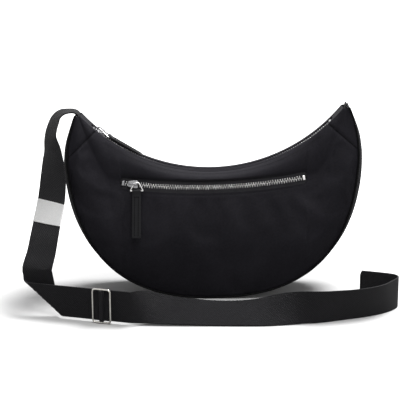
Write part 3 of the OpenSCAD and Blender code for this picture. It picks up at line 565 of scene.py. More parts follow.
# %% Metal and thread
def metal(name, colour, roughness):
    material, tree, shader = new_material(name)
    coords = add_node(tree, "TexCoord").outputs["Object"]
    rub = texture(tree, "TexNoise", coords, "Fac", Scale=180.0, Detail=4.0)
    tree.links.new(weighed(tree, rub, 0.16, roughness - 0.06), shader.inputs["Roughness"])
    dull = tuple(0.86 * c for c in colour)
    colour_between(tree, shader, rub, dull, colour, 0.35, 0.65)
    set_sockets(shader, {"Metallic": 1.0})
    return material


def thread(name, colour):
    material, tree, shader = new_material(name)
    coords = add_node(tree, "TexCoord").outputs["Object"]
    twist = texture(tree, "TexWave", coords, "Fac", Scale=900.0, Distortion=1.5,
                    bands_direction="DIAGONAL")
    pale = tuple(1.5 * c for c in colour)
    colour_between(tree, shader, twist, colour, pale, 0.2, 0.8)
    set_sockets(shader, {"Roughness": 0.8, "Specular IOR Level": 0.08})
    return material


NICKEL = metal("nickel", (0.85, 0.84, 0.83), 0.25)
# The sliders' own darker nickel, which also paints shade on the left end stops
SLIDER_NICKEL_AND_STOP_SHADE = metal("nickel_slider_and_stop_shade", (0.3, 0.3, 0.31), 0.22)
WIRE = metal("buckle_wire", (0.66, 0.64, 0.6), 0.22)
THREAD = thread("thread_black", (0.008, 0.008, 0.0085))
TAB_THREAD = thread("thread_tab", (0.004, 0.004, 0.0045))
print("trim", [m.name for m in (LEATHER, NICKEL, SLIDER_NICKEL_AND_STOP_SHADE, WIRE, THREAD, TAB_THREAD)])

# %% [markdown]
# ## Rows and stations
# Cloth needs more points where it bends or is sewn. A fine grid all over would have several times the
# faces, so the rows and stations are only close at the window's rounded, topstitched edge and at the
# seams, and they spread out over the plain belly.

# %% Rows and stations of the panels
TOP_ROWS = [0, 0.05, 0.14, 0.25, 0.36, 0.48, 0.6, 0.72, 0.82, 0.91, 1]
HOLE_ROWS = [1.25, 1.5, 1.75, 2]
UNDER_WINDOW_ROWS = [2.008, 2.016, 2.024, 2.034, 2.05, 2.075, 2.105]
BELLY_ROWS = [2.14 + 0.035 * k for k in range(22)]
SEAM_ROWS = [2.935, 2.955, 2.972, 2.986, 3]
ROWS = TOP_ROWS + HOLE_ROWS + UNDER_WINDOW_ROWS + BELLY_ROWS + SEAM_ROWS
END_STEPS = [0, 0.012, 0.035, 0.075, 0.13, 0.21, 0.3, 0.395]
PER_CELL = 3.0


def spread(first, last, per_cell):
    count = round((last - first) * per_cell)
    return [first + (last - first) * k / count for k in range(count)]


def panel_stations(first, last):
    """Stations from first to last, with extra ones at the window's rounded ends."""
    if last <= WINDOW_FIRST or first >= WINDOW_LAST:
        return spread(first, last, PER_CELL) + [last]
    left = [WINDOW_FIRST + e for e in END_STEPS]
    right = [WINDOW_LAST - e for e in reversed(END_STEPS)]
    inside = spread(left[-1], right[0], PER_CELL)[1:]
    after = spread(WINDOW_LAST, last, PER_CELL)[1:] + [last]
    return spread(first, WINDOW_FIRST, PER_CELL) + left + inside + right + after


print("rows", len(ROWS), "stations", len(panel_stations(SEAM_LEFT, SEAM_RIGHT)))


# %% [markdown]
# ## Soft swell
# A stuffed bag isn't a clean lofted shape: it has low, slow hollows, shallow puckers that start at
# the seams, and a faint trough where each stitch line pulls the cloth down. Sculpting them by hand
# would tie them to one mesh, so a function gives how far, in millimetres, the cloth moves in at a
# place. Where the leather tab can come to lie against the front, the cloth swells less.


# %% Hollows, puckers and stitch troughs
def bell(x, width):
    return math.exp(-((x / width) ** 2))


# Where the pull tab lies against the front at the ends of its joints: x, z, and reach each way
TAB_RESTS = ((-0.0895, 0.108, 0.02, 0.045), (0.119, 0.158, 0.03, 0.03))
TAB_SHARE, LEAST_ROOM = 0.9, 0.05
# Where the eye of the tab rubs the front at the right end of the window: x, z, reach, and depth in mm
EYE_X, EYE_Z, EYE_REACH, EYE_DEPTH = 0.119, 0.158, 0.014, 0.8
# How far the cloth swells out, and how deep and how close together its hollows and ripples are
SWELL, HOLLOW, HOLLOWS_PER_M, RIPPLE, RIPPLES_PER_M = 0.9, 3.4, 17, 0.9, 43
PUCKER, PUCKER_REACH, SEAM_REACH = 0.55, 0.14, 0.02
# Trough of the seam between the panel and the horn patch, its width, and rows over which it starts
HORN_TROUGH, HORN_WIDTH, HORN_START, HORN_END = 1.5, 0.1, 0.2, 0.25
HORN_WAVE, HORN_WAVE_WIDTH = 0.3, 0.8
# Trough below the mouth, its row and width in rows, and ripples that grow with the way from the mouth
MOUTH_TROUGH, TROUGH_ROW, TROUGH_WIDTH, MOUTH_RIPPLE, RIPPLE_GROWTH = 0.4, 0.6, 0.09, 0.35, 0.06
# Trough of the stitches under the window and the low roll beyond them: depth, place and width in mm
STITCH_TROUGH, STITCH_ROLL = (0.35, 2.6, 0.9), (0.25, 5, 1.6)
STITCH_PAST = 6


def front_room(place):
    """How far the front may swell in millimetres, less where the pull tab lies against it."""
    room = SWELL
    for x, z, wide, high in TAB_RESTS:
        room -= TAB_SHARE * SWELL * bell(place.x - x, wide) * bell(place.z - z, high)
    return max(room, LEAST_ROOM)


def belly_depth(i, t, side, place, swell, small):
    """Hollows and ripples of the belly, from its upper edge at t = 0 to the seam at t = 1."""
    big = noise.noise(place * HOLLOWS_PER_M + Vector((side * 3, 1.7, 5.1)))
    depth = (HOLLOW * big + RIPPLE * small) * math.sin(math.pi * t)
    if depth < 0:
        depth = swell * (math.exp(depth / swell) - 1)
    pucker = noise.noise(Vector((i * 1.9 + side, side * 4, 0.3)))
    return depth + PUCKER * pucker * bell(1 - t, PUCKER_REACH) * (1 - bell(1 - t, SEAM_REACH))


def horn_depth(i, v, side):
    """Trough and waves at the seam of a horn patch, which fade at the mouth and the piping."""
    away = min(abs(i - SEAM_LEFT), abs(i - SEAM_RIGHT))
    fade = ease(min((3 - v) / HORN_END, v / HORN_START))
    waves = HORN_WAVE * noise.noise(Vector((v * 4, side, i))) * bell(away, HORN_WAVE_WIDTH)
    return HORN_TROUGH * bell(away, HORN_WIDTH) * fade + waves


def soft_depth(i, v, side, place):
    s = slice_at(i)
    length = (Vector(s[0]) - Vector(s[1])).length
    small = noise.noise(place * RIPPLES_PER_M + Vector((side * 8, 2.2, 0.4)))
    swell = front_room(place) if side < 0 else SWELL
    depth = horn_depth(i, v, side)
    if v > 2:
        depth += belly_depth(i, v - 2, side, place, swell, small)
    if v < 1:
        in_middle = s[3] < 0.02
        depth += MOUTH_TROUGH * bell(v - TROUGH_ROW, TROUGH_WIDTH) * in_middle
        depth += MOUTH_RIPPLE * small * math.sin(math.pi * v) * min(1, v * length * RIPPLE_GROWTH)
    if side < 0:
        depth += EYE_DEPTH * bell(math.hypot(place.x - EYE_X, place.z - EYE_Z), EYE_REACH)
    if side < 0 and abs(s[1][0]) <= WINDOW_W / 2 + STITCH_PAST and v >= 2:
        below = (v - 2) * length
        trough, roll = STITCH_TROUGH, STITCH_ROLL
        depth += trough[0] * bell(below - trough[1], trough[2])
        depth -= roll[0] * bell(below - roll[1], roll[2]) * swell / SWELL
    return depth


def panel_lines(first, last, side):
    """Lines of the outer face from the seam up, each from left to right as seen from outside."""
    stations = panel_stations(first, last)
    if side > 0:
        stations = stations[::-1]
    lines = []
    for v in reversed(ROWS):
        line = []
        for i in stations:
            place = panel_place(i, v, side)
            line.append(panel_place(i, v, side, soft_depth(i, v, side, place)))
        lines.append(line)
    return lines, stations


# %% [markdown]
# ## Cloth simulation
# The front and the back are stuffed, so a short cloth simulation with pressure lets them settle: the
# edges are pinned where they are sewn, and the cloth is a little larger than its frame. Noise alone
# would give hollows but not the way that they run out towards a seam. No point may end up more than
# three millimetres from where the pattern put it, so the cloth keeps off what lies against it.


# %% Let a panel settle
SETTLE_FRAMES, SIDE_CAP = 18, 1.5
NYLON_CLOTH = {
    "quality": 6, "mass": 0.25, "tension_stiffness": 12, "compression_stiffness": 12,
    "shear_stiffness": 6, "bending_stiffness": 1.2, "vertex_group_mass": "sewn",
    "shrink_min": -0.012, "use_pressure": True, "uniform_pressure_force": 0.6,
}


def settle(patch, pinned, out_cap, in_cap):
    """Runs cloth with pressure on an open patch, and caps how far each point moved."""
    start = [v.co.copy() for v in patch.data.vertices]
    normals = [v.normal.copy() for v in patch.data.vertices]
    group = patch.vertex_groups.new(name="sewn")
    group.add(sorted(pinned), 1.0, "REPLACE")
    cloth = patch.modifiers.new("cloth", "CLOTH")
    for setting, value in NYLON_CLOTH.items():
        setattr(cloth.settings, setting, value)
    cloth.settings.effector_weights.gravity = 0.0
    cloth.collision_settings.use_collision = False
    cloth.point_cache.frame_start = 1
    cloth.point_cache.frame_end = SETTLE_FRAMES
    for f in range(1, SETTLE_FRAMES + 1):
        bpy.context.scene.frame_set(f)
    apply_all(patch)
    bpy.context.scene.frame_set(1)
    patch.vertex_groups.clear()
    moved = 0.0
    for vertex, base, normal in zip(patch.data.vertices, start, normals):
        step = vertex.co - base
        out = step.dot(normal)
        side_step = step - out * normal
        if side_step.length > SIDE_CAP * MM:
            side_step = side_step.normalized() * SIDE_CAP * MM
        out = max(-in_cap * MM, min(out_cap(base) * MM, out))
        vertex.co = base + out * normal + side_step
        moved = max(moved, abs(out))
    print(patch.name, "settled by up to", round(moved * 1000, 2), "mm")


def sewn_points(columns, rows, last_row):
    """Numbers of a panel's points that are sewn down: its seam, its ends and its rows up to one."""
    return {
        r * columns + c
        for r, v in enumerate(rows)
        for c in range(columns)
        if r < 2 or c in (0, columns - 1) or v <= last_row
    }


# %% [markdown]
# ## Front
# The front is one patch with a window for the zip. A boolean would cut the window too, but it leaves
# long thin faces beside the cut, where the cloth bends most. Here the grid already has its lines on
# the window's edge, so the faces inside it are selected by their place and deleted, and the rest is
# thickened and rounded.


# %% Front cloth
def delete_faces(patch, chosen):
    select_only(patch)
    mesh = patch.data
    for item in (*mesh.edges, *mesh.vertices):
        item.select = False
    for polygon in mesh.polygons:
        polygon.select = polygon.index in chosen
        if polygon.select:
            for n in polygon.vertices:
                mesh.vertices[n].select = True
    bpy.ops.object.mode_set(mode="EDIT")
    bpy.ops.mesh.select_mode(type="FACE")
    bpy.ops.mesh.delete(type="FACE")
    bpy.ops.object.mode_set(mode="OBJECT")


EDGE_ROUND, HIDDEN_ROUND = 0.45, 0.4
front_lines, front_stations = panel_lines(SEAM_LEFT, SEAM_RIGHT, -1)
front_cloth = lay_grid("front_cloth", front_lines)
rows_up = list(reversed(ROWS))
columns = len(front_stations)
window_faces = {
    r * (columns - 1) + c
    for r in range(len(rows_up) - 1)
    for c in range(columns - 1)
    if 1 <= rows_up[r + 1] and rows_up[r] <= 2
    and WINDOW_FIRST - 1e-6 <= front_stations[c] and front_stations[c + 1] <= WINDOW_LAST + 1e-6
}
settle(front_cloth, sewn_points(columns, rows_up, 2.06), front_room, 1.2)
delete_faces(front_cloth, window_faces)
thicken(front_cloth, CLOTH, EDGE_ROUND)
sew_in(front_cloth, NYLON, "bag", "front_panel")

# %% [markdown]
# ## Back and horn patches
# The back is the same patch without a window. The four horn patches are short ends of the same
# pattern. They could be one with the front and back, with a drawn line for the seam, but they are cut
# apart on the real bag, and both edges dip where they meet, which is what makes the seam show.

# %% Back cloth and horn patches
back_lines, back_stations = panel_lines(SEAM_LEFT, SEAM_RIGHT, 1)
back_cloth = lay_grid("back_cloth", back_lines)
settle(back_cloth, sewn_points(len(back_stations), rows_up, 0.3), lambda place: 1.8, 2.5)
thicken(back_cloth, CLOTH, EDGE_ROUND)
sew_in(back_cloth, NYLON, "bag", "back_panel")

for side, face in ((-1, "front"), (1, "back")):
    for first, last, hand in ((0, SEAM_LEFT, "left"), (SEAM_RIGHT, STATIONS, "right")):
        lines, _ = panel_lines(first, last, side)
        patch = lay_grid(f"{face}_horn_cloth_{hand}", lines)
        thicken(patch, CLOTH, HIDDEN_ROUND)
        sew_in(patch, NYLON, "bag", f"{face}_horn_{hand}")

# %% [markdown]
# ## Gusset
# The gusset is the long strip between the two seams. A bent strip of even section would do for a
# stiff case, but this one is soft: it crowns outwards between the seams, and the floor presses it flat
# at the bottom. So each of its points has its place from a formula, and none is let below the floor.

# %% Gusset cloth
GUSSET_CELLS, GUSSET_PER_CELL = 20, 3.5
CROWN_POWER, GUSSET_RIPPLE, OUT_CAP = 2.4, 0.35, 0.1
SEAM_GAP = CLOTH + 2 * GAP


def gusset_place(i, q):
    s = slice_at(i)
    ripple = GUSSET_RIPPLE * noise.noise(Vector((i * 1.3, q * 2, 3.3))) * (1 - q * q)
    x, z = inward(s, crown_at(s) * abs(q) ** CROWN_POWER + max(ripple, -OUT_CAP) + OUT_CAP)
    place = leaned(x, -q * (seam_half(s) - SEAM_GAP), z)
    place.z = max(place.z, 0.0)
    return place


gusset_stations = spread(0, STATIONS, GUSSET_PER_CELL) + [STATIONS]
gusset_lines = [
    [gusset_place(i, 2 * j / GUSSET_CELLS - 1) for i in gusset_stations] for j in range(GUSSET_CELLS + 1)
]
gusset_cloth = lay_grid("gusset_cloth", gusset_lines)
thicken(gusset_cloth, CLOTH, HIDDEN_ROUND)
# The darker nylon is painted shade on the sides and bottom of the bag
sew_in(gusset_cloth, SHADED_GUSSET_NYLON, "bag", "gusset")

# %% [markdown]
# ## Piping
# Each seam is bound with a thin black cord. A screw or a swept circle would turn over on a bent path, while a
# curve with a round bevel follows the seam by itself, and is then made a mesh. It bulges and thins a little,
# as a hand-fed binding does. A dark cord sunk in the trough of each horn seam is painted shade, which draws
# that seam as a dark line.


# %% Piping and the cords of painted shade in the horn seams
def tube(name, places, radius, closed=False, sides=10, wobble=0.0):
    """A round cord through places, made from a curve and turned into a mesh."""
    curve = bpy.data.curves.new(name, "CURVE")
    curve.dimensions = "3D"
    curve.bevel_depth = radius * MM
    curve.bevel_resolution = max(1, sides // 4)
    curve.use_fill_caps = not closed
    spline = curve.splines.new("POLY")
    spline.points.add(len(places) - 1)
    for n, (point, place) in enumerate(zip(spline.points, places)):
        point.co = (*place, 1)
        point.radius = 1 + wobble * noise.noise(Vector((n * 0.37, radius, 1.1)))
    spline.use_cyclic_u = closed
    obj = bpy.data.objects.new(name, curve)
    bpy.context.collection.objects.link(obj)
    select_only(obj)
    bpy.ops.object.convert(target="MESH")
    obj = bpy.context.object
    if not obj.data.uv_layers:
        obj.data.uv_layers.new(name="UVMap")
    smooth_by_angle(obj, 60)
    return obj


SEAM_SHADE_CORD, PIPING_WOBBLE = 0.45, 0.12
for side, face in ((-1, "front"), (1, "back")):
    seam = []
    for i in gusset_stations:
        s = slice_at(i)
        x, z = inward(s, crown_at(s))
        seam.append(leaned(x, side * seam_half(s), z))
    cord = tube(f"{face}_piping_cord", seam, PIPING / 2, wobble=PIPING_WOBBLE)
    sew_in(cord, BINDING, "bag", f"{face}_piping")
    # Each horn seam's trough gets a near-black cord, which is painted shade along the seam
    for station, hand in ((SEAM_LEFT, "left"), (SEAM_RIGHT, "right")):
        line = []
        for v in ROWS[1:-1]:
            sunk = soft_depth(station, v, side, panel_place(station, v, side)) - SEAM_SHADE_CORD / 3
            line.append(panel_place(station, v, side, sunk))
        sew_in(tube(f"horn_seam_shade_{face}_{hand}", line, SEAM_SHADE_CORD), BINDING, "bag")

# %% [markdown]
# ## Places on the two zips
# A zip follows an arc, and everything on it is placed by an angle along that arc. An array along a
# curve would do for the teeth alone, but the strips, stops and sliders need the same places. So there
# is a matrix per place, with X along the zip, Y across it and Z out of the cloth.

# %% Frames of the two zips
LEAN_FRAME = (
    Matrix.Translation((0, 0, PIVOT * MM))
    @ Matrix.Rotation(math.radians(-LEAN), 4, "Y")
    @ Matrix.Translation((0, 0, -PIVOT * MM))
)
MOUTH_FRAME = LEAN_FRAME @ Matrix.Translation((0, 0, MOUTH_C * MM)) @ Matrix.Rotation(math.pi / 2, 4, "X")
WINDOW_FRAME = (
    LEAN_FRAME
    @ Matrix.Translation((0, -WINDOW_Y * MM, WINDOW_Z * MM))
    @ Matrix.Rotation(math.radians(90 - WINDOW_TILT), 4, "X")
    @ Matrix.Translation((0, WINDOW_R * MM, 0))
)
TAPE_T, PITCH, CHAIN_W, TOOTH_H, BITE = 0.8, 3.0, 5.9, 2.6, 2
TAPE_R = MOUTH_R + CLOTH + TAPE_T / 2
WINDOW_LOW = -CLOTH - TAPE_T / 2
TAPE_IN = CHAIN_W / 2 - BITE


def arc_degrees(length, radius):
    return math.degrees(length / radius)


ZIP_ANGLE = MOUTH_ANGLE - arc_degrees(END_TAB, MOUTH_R)


def on_mouth(angle):
    turn = Matrix.Rotation(math.radians(angle), 4, "Z")
    outwards = Matrix.Translation((0, -TAPE_R * MM, 0)) @ Matrix.Rotation(-math.pi / 2, 4, "X")
    return MOUTH_FRAME @ turn @ outwards


def on_window(angle):
    turn = Matrix.Rotation(math.radians(angle), 4, "Z")
    return WINDOW_FRAME @ turn @ Matrix.Translation((0, -WINDOW_R * MM, WINDOW_LOW * MM))


print("zips of", round(2 * ZIP_ANGLE, 1), "and", round(2 * WINDOW_ANGLE, 1), "degrees")


# %% [markdown]
# ## Facings, end tabs and tapes
# Folded strips of the same nylon face each side of the top zip, and a folded tab closes each end. The
# tapes lie under them. Bending straight strips with a modifier would stretch them unevenly. All are
# strips along an arc, so one helper lays them as grids. The front facing stands up in a soft roll.


# %% Strips along an arc
def arc_strip(name, where, node, angles, y1, y2, z, thickness, material,
              cells=120, across=6, ripple=0.0, crest=0.0):
    """A strip between two angles and from y1 to y2 across, its outer face at height z."""
    lines = []
    for j in range(across + 1):
        y = lerp(y1, y2, j / across)
        line = []
        for n in range(cells + 1):
            a = lerp(*angles, n / cells)
            fade = math.sin(math.pi * n / cells) ** 0.3 * math.sin(math.pi * j / across)
            dip = ripple * noise.noise(Vector((a * 0.9, y * 0.3, z))) * fade
            roll = crest * math.sin(math.pi * n / cells) ** 2 * math.sin(math.pi * (j / across) ** 1.6)
            line.append(where(a) @ Vector((0, y * MM, (z + roll - abs(dip)) * MM)))
        lines.append(line)
    strip = lay_grid(name, lines)
    thicken(strip, thickness, EDGE_ROUND if material is NYLON else TAPE_ROUND)
    sew_in(strip, material, "bag", node)


TAPE_ROUND = 0.15
FACING_Z = TAPE_R - MOUTH_R
FACING_RIPPLE, FRONT_CREST, END_RIPPLE = 0.4, 2.4, 0.5
ALONG_ZIP = (-ZIP_ANGLE, ZIP_ANGLE)
arc_strip("facing_front", on_mouth, "top_facing_front", ALONG_ZIP, -MOUTH_HALF, -TAPE_SHOW, FACING_Z,
          CLOTH, NYLON, across=10, ripple=FACING_RIPPLE, crest=FRONT_CREST)
arc_strip("facing_back", on_mouth, "top_facing_back", ALONG_ZIP, TAPE_SHOW, MOUTH_HALF, FACING_Z,
          CLOTH, NYLON, ripple=FACING_RIPPLE)
for hand, angles in (("left", (-MOUTH_ANGLE, -ZIP_ANGLE)), ("right", (ZIP_ANGLE, MOUTH_ANGLE))):
    arc_strip(f"end_tab_{hand}", on_mouth, f"zip_end_tab_{hand}", angles, -MOUTH_HALF, MOUTH_HALF, FACING_Z,
              CLOTH, NYLON, cells=14, across=16, ripple=END_RIPPLE)
arc_strip("tape_front", on_mouth, "top_tape_front", ALONG_ZIP, -MOUTH_HALF, -TAPE_IN, TAPE_T / 2,
          TAPE_T, TAPE)
arc_strip("tape_back", on_mouth, "top_tape_back", ALONG_ZIP, TAPE_IN, MOUTH_HALF, TAPE_T / 2,
          TAPE_T, TAPE)

# %% Tapes of the front zip
WINDOW_SEAM = 5
WINDOW_REACH = WINDOW_H / 2 + WINDOW_SEAM
for hand, low, high in (("lower", -WINDOW_REACH, -TAPE_IN), ("upper", TAPE_IN, WINDOW_REACH)):
    arc_strip(f"window_tape_{hand}", on_window, f"front_tape_{hand}", (-WINDOW_ANGLE, WINDOW_ANGLE),
              low, high, TAPE_T / 2, TAPE_T, TAPE, cells=90)

# %% [markdown]
# ## Zip teeth
# A metal tooth is a small block with a rounded head that bites over the edge of the tape. A ribbed
# strip would look like a zip from afar, but up close the light between the teeth is missing. So one
# tooth is modelled from a cube, then copied along the arc on both sides, half a pitch apart.


# %% Copy a piece to many places
def join(name, parts):
    select_only(*parts)
    bpy.ops.object.join()
    joined = bpy.context.object
    joined.name = joined.data.name = name
    return joined


def copy_to(name, original, places):
    """Copies a mesh to each matrix, each copy with its own mesh, and joins them into one piece."""
    copies = []
    for place in places:
        copy = original.copy()
        copy.data = original.data.copy()
        copy.data.transform(place)
        if place.determinant() < 0:
            copy.data.flip_normals()
        bpy.context.collection.objects.link(copy)
        copies.append(copy)
    bpy.data.objects.remove(original)
    return join(name, copies)


def start_block(name, size, place):
    """A block of the given size in millimetres, its place in its mesh."""
    bpy.ops.object.select_all(action="DESELECT")
    bpy.ops.mesh.primitive_cube_add(size=1)
    block = bpy.context.object
    block.name = block.data.name = name
    size_m, place_m = Vector(size) * MM, Vector(place) * MM
    block.data.transform(Matrix.Translation(place_m) @ Matrix.Diagonal((*size_m, 1)))
    return block


def round_edges(obj, width, segments):
    add_bevel(obj, width, segments, 30)
    apply_all(obj)
    smooth_by_angle(obj, 50)


# %% Rows of teeth
TOOTH_LEN = 0.28 * PITCH
HEAD_IN, HEAD_LOW_SHARE, HEAD_THIN_SHARE, TOOTH_ROUND = 2.2, 0.8, 0.85, 0.3


def tooth():
    """One tooth on the +Y side: a foot on the tape and a narrower head across the middle."""
    tip = CHAIN_W / 2 - HEAD_IN
    block = start_block("tooth", (TOOTH_LEN, CHAIN_W / 2 + tip, TOOTH_H), (0, (CHAIN_W / 2 - tip) / 2, 0))
    for vertex in block.data.vertices:
        if vertex.co.y < 0:
            vertex.co.z *= HEAD_LOW_SHARE
            vertex.co.x *= HEAD_THIN_SHARE
    round_edges(block, TOOTH_ROUND, 1)
    return block


def tooth_angles(r, a1, a2, shift):
    step = arc_degrees(PITCH, r)
    count = int((a2 - a1 - step) / step - shift + 1e-6) + 1
    return [a1 + (0.5 + shift + k) * step for k in range(count)]


FLIP_Y = Matrix.Diagonal((1, -1, 1, 1))
TEETH_INSET = 2 * PITCH
ZIPS = (
    ("mouth", "top", on_mouth, MOUTH_R, ZIP_ANGLE),
    ("window", "front", on_window, WINDOW_R, WINDOW_ANGLE),
)
for zip_name, node, where, radius, angle in ZIPS:
    reach = angle - arc_degrees(TEETH_INSET, radius)
    chain_radius = TAPE_R if zip_name == "mouth" else WINDOW_R
    hands = ("back", "front") if zip_name == "mouth" else ("upper", "lower")
    for hand, side in zip(hands, (1, -1)):
        angles = tooth_angles(chain_radius, -reach, reach, 0.5 if side > 0 else 0)
        places = [where(a) @ (FLIP_Y if side < 0 else Matrix()) for a in angles]
        row = copy_to(f"{zip_name}_teeth_{hand}", tooth(), places)
        sew_in(row, NICKEL, "bag", f"{node}_teeth_{hand}")

# %% [markdown]
# ## End stops
# A bent metal staple closes each end of the chain. Nobody sees its legs, so it is a low block with rounded
# shoulders, and no bent wire. The left one, beside the slider, has the slider's darker metal as painted
# shade, for it lies in the slider's shade.

# %% End stops
STOP_INSET = 1.6 * PITCH
STOP_ROUND = 0.45
for zip_name, node, where, radius, angle in ZIPS:
    block = start_block("stop", (PITCH, CHAIN_W, TOOTH_H / 2), (0, 0, TAPE_T / 2 + TOOTH_H / 4))
    round_edges(block, STOP_ROUND, 3)
    end = angle - arc_degrees(STOP_INSET, radius)
    # The left stop takes the slider's darker metal as painted shade, since it lies in the slider's shade
    shaded_left_stop = copy_to(f"{zip_name}_stops_left", block.copy(), [where(-end)])
    sew_in(shaded_left_stop, SLIDER_NICKEL_AND_STOP_SHADE, "bag")
    sew_in(copy_to(f"{zip_name}_stops_right", block, [where(end)]), NICKEL, "bag", f"{node}_zip_stops")

# %% [markdown]
# ## Sliders
# A slider is two plates joined at the sides, with a raised bridge that holds the pull. Boxes would
# miss its pointed tail and round nose, so each plate is drawn as an outline, extruded and rounded. The
# bridge is an outline too, seen from the side.

# %% Cut a shape from an outline
SLIDER_LEN, SLIDER_W, PLATE_T, POST_D = 12.5, 9.4, 1.1, 1.8
BRIDGE_W, BRIDGE_T, FLANGE_T = 2.4, 1.0, 1.0
RING_WIRE, RING_LEN, PULL_LIFT = 1.5, 10, 1.3
PLATE_Z = TOOTH_H / 2 + GAP
BRIDGE_ROOM = RING_WIRE + 2 * GAP + PULL_LIFT
RING_Z = PLATE_Z + PLATE_T + BRIDGE_ROOM - GAP - RING_WIRE / 2
POST_X = SLIDER_LEN / 2 - POST_D


def cut_shape(name, outline, thickness, place, rounding, segments):
    """An outline of (x, y) points in millimetres, extruded upwards, then rounded."""
    bpy.ops.object.select_all(action="DESELECT")
    bpy.ops.mesh.primitive_circle_add(vertices=len(outline), fill_type="NGON")
    shape = bpy.context.object
    shape.name = shape.data.name = name
    for vertex, (x, y) in zip(shape.data.vertices, outline):
        vertex.co = (x * MM, y * MM, 0)
    bpy.ops.object.mode_set(mode="EDIT")
    bpy.ops.mesh.select_all(action="SELECT")
    bpy.ops.mesh.extrude_region_move(TRANSFORM_OT_translate={"value": (0, 0, thickness * MM)})
    bpy.ops.mesh.select_all(action="SELECT")
    bpy.ops.mesh.normals_make_consistent(inside=False)
    bpy.ops.object.mode_set(mode="OBJECT")
    shape.data.transform(place)
    round_edges(shape, rounding, segments)
    return shape


def slider_outline():
    """Plate outline: a narrow tail, swelling to the full width, with a notched round nose."""
    half, wide, tail = SLIDER_LEN / 2, SLIDER_W / 2, SLIDER_W / 2 - 1
    upper = [(-half, 0), (-half, tail - 1.2), (-half + 0.5, tail - 0.3), (-half + 1.4, tail)]
    upper += [(-2.2, tail + 0.35), (-0.4, wide - 0.1), (1.6, wide), (half - 1.4, wide)]
    upper += [(half - 0.4, wide - 0.5), (half, wide - 1.5), (half - 0.25, 1.6), (half - 1.0, 0)]
    lower = [(x, -y) for x, y in reversed(upper[1:-1])]
    return upper[::-1] + lower[::-1]


def bridge_outline():
    """Side view of the bridge: two feet and a flat arch, with the room for the ring inside."""
    end, top = POST_X + POST_D / 2, BRIDGE_ROOM + BRIDGE_T
    inner, room = POST_X - POST_D / 2, BRIDGE_ROOM
    outer = [(end - 2.2, top), (end - 1.1, top - 0.1), (end - 0.3, room + 0.25), (end, room * 0.6), (end, 0)]
    inside = [(inner, 0), (inner, room - 0.3), (inner - 0.5, room)]
    outer_left = [(-x, z) for x, z in reversed(outer)]
    inside_left = [(-x, z) for x, z in reversed(inside)]
    return outer_left + outer + inside + inside_left


# %% Build the two sliders
PLATE_ROUND, BRIDGE_ROUND = 0.35, 0.3
FLANGE_SHARE, FLANGE_SHIFT_SHARE, FLANGE_IN, FLANGE_SINK = 0.66, 0.1, 0.3, 0.2


def lifted(z):
    return Matrix.Translation((0, 0, z * MM))


def flange(side, face):
    """One side wall of the slider, sunk a little into the plate that it stands on."""
    high = PLATE_Z - TAPE_T / 2 - GAP
    size = (SLIDER_LEN * FLANGE_SHARE, FLANGE_T, high + 2 * FLANGE_SINK)
    y = side * (SLIDER_W - FLANGE_T - FLANGE_IN) / 2
    z = face * (PLATE_Z - high / 2 + FLANGE_SINK)
    wall = start_block("flange", size, (SLIDER_LEN * FLANGE_SHIFT_SHARE, y, z))
    round_edges(wall, BRIDGE_ROUND, 2)
    return wall


def slider(name, place):
    upright = Matrix.Translation((0, BRIDGE_W / 2 * MM, (PLATE_Z + PLATE_T) * MM))
    upright = upright @ Matrix.Rotation(math.pi / 2, 4, "X")
    parts = [
        cut_shape("plate", slider_outline(), PLATE_T, lifted(z), PLATE_ROUND, 3)
        for z in (PLATE_Z, -PLATE_Z - PLATE_T)
    ]
    parts.append(cut_shape("bridge", bridge_outline(), BRIDGE_W, upright, BRIDGE_ROUND, 2))
    parts += [flange(side, face) for side in (-1, 1) for face in (1, -1)]
    body = join(name, parts)
    body.data.transform(place)
    return body


SLIDER_INSET = STOP_INSET + PITCH / 2 + 2 * GAP + SLIDER_LEN / 2
FRONT_PARK = 4
TOP_AT = on_mouth(arc_degrees(SLIDER_INSET, TAPE_R) - ZIP_ANGLE)
FRONT_ANGLE = arc_degrees(SLIDER_INSET + FRONT_PARK, WINDOW_R) - WINDOW_ANGLE
FRONT_AT = on_window(FRONT_ANGLE)
sew_in(slider("mouth_slider", TOP_AT), SLIDER_NICKEL_AND_STOP_SHADE, "top_slider_body", "top_slider")
sew_in(slider("window_slider", FRONT_AT), SLIDER_NICKEL_AND_STOP_SHADE, "front_slider_body", "front_slider")

# %% [markdown]
# ## Pull rings
# The pull hangs from a wire ring shaped like a keystone, narrow at the bridge and wide at the tab. A
# squashed torus would be round where the wire is straight, so the wire is a closed curve with short
# bends at its corners.

# %% Pull rings
TOP_TAB_LEN, FRONT_TAB_LEN, TAB_W, TAB_T = 46, 58, 11, 2.4
TAB_ROOM, RING_BEND = 1.3, 1.1
NEAR_HALF = POST_D / 2 + RING_WIRE + GAP
FAR_HALF = TAB_W / 2 + RING_WIRE / 2 + GAP + TAB_ROOM
NEAR_BACK = POST_D / 2 + RING_WIRE / 2 + GAP


def rounded_loop(corners, radius, steps=6):
    """A closed path through corners, each replaced by a short smooth bend."""
    path = []
    for n, corner in enumerate(corners):
        before, after = Vector(corners[n - 1]), Vector(corners[(n + 1) % len(corners)])
        corner = Vector(corner)
        a = corner + (before - corner).normalized() * radius
        b = corner + (after - corner).normalized() * radius
        for k in range(steps + 1):
            t = k / steps
            path.append((1 - t) ** 2 * a + 2 * t * (1 - t) * corner + t * t * b)
    return path


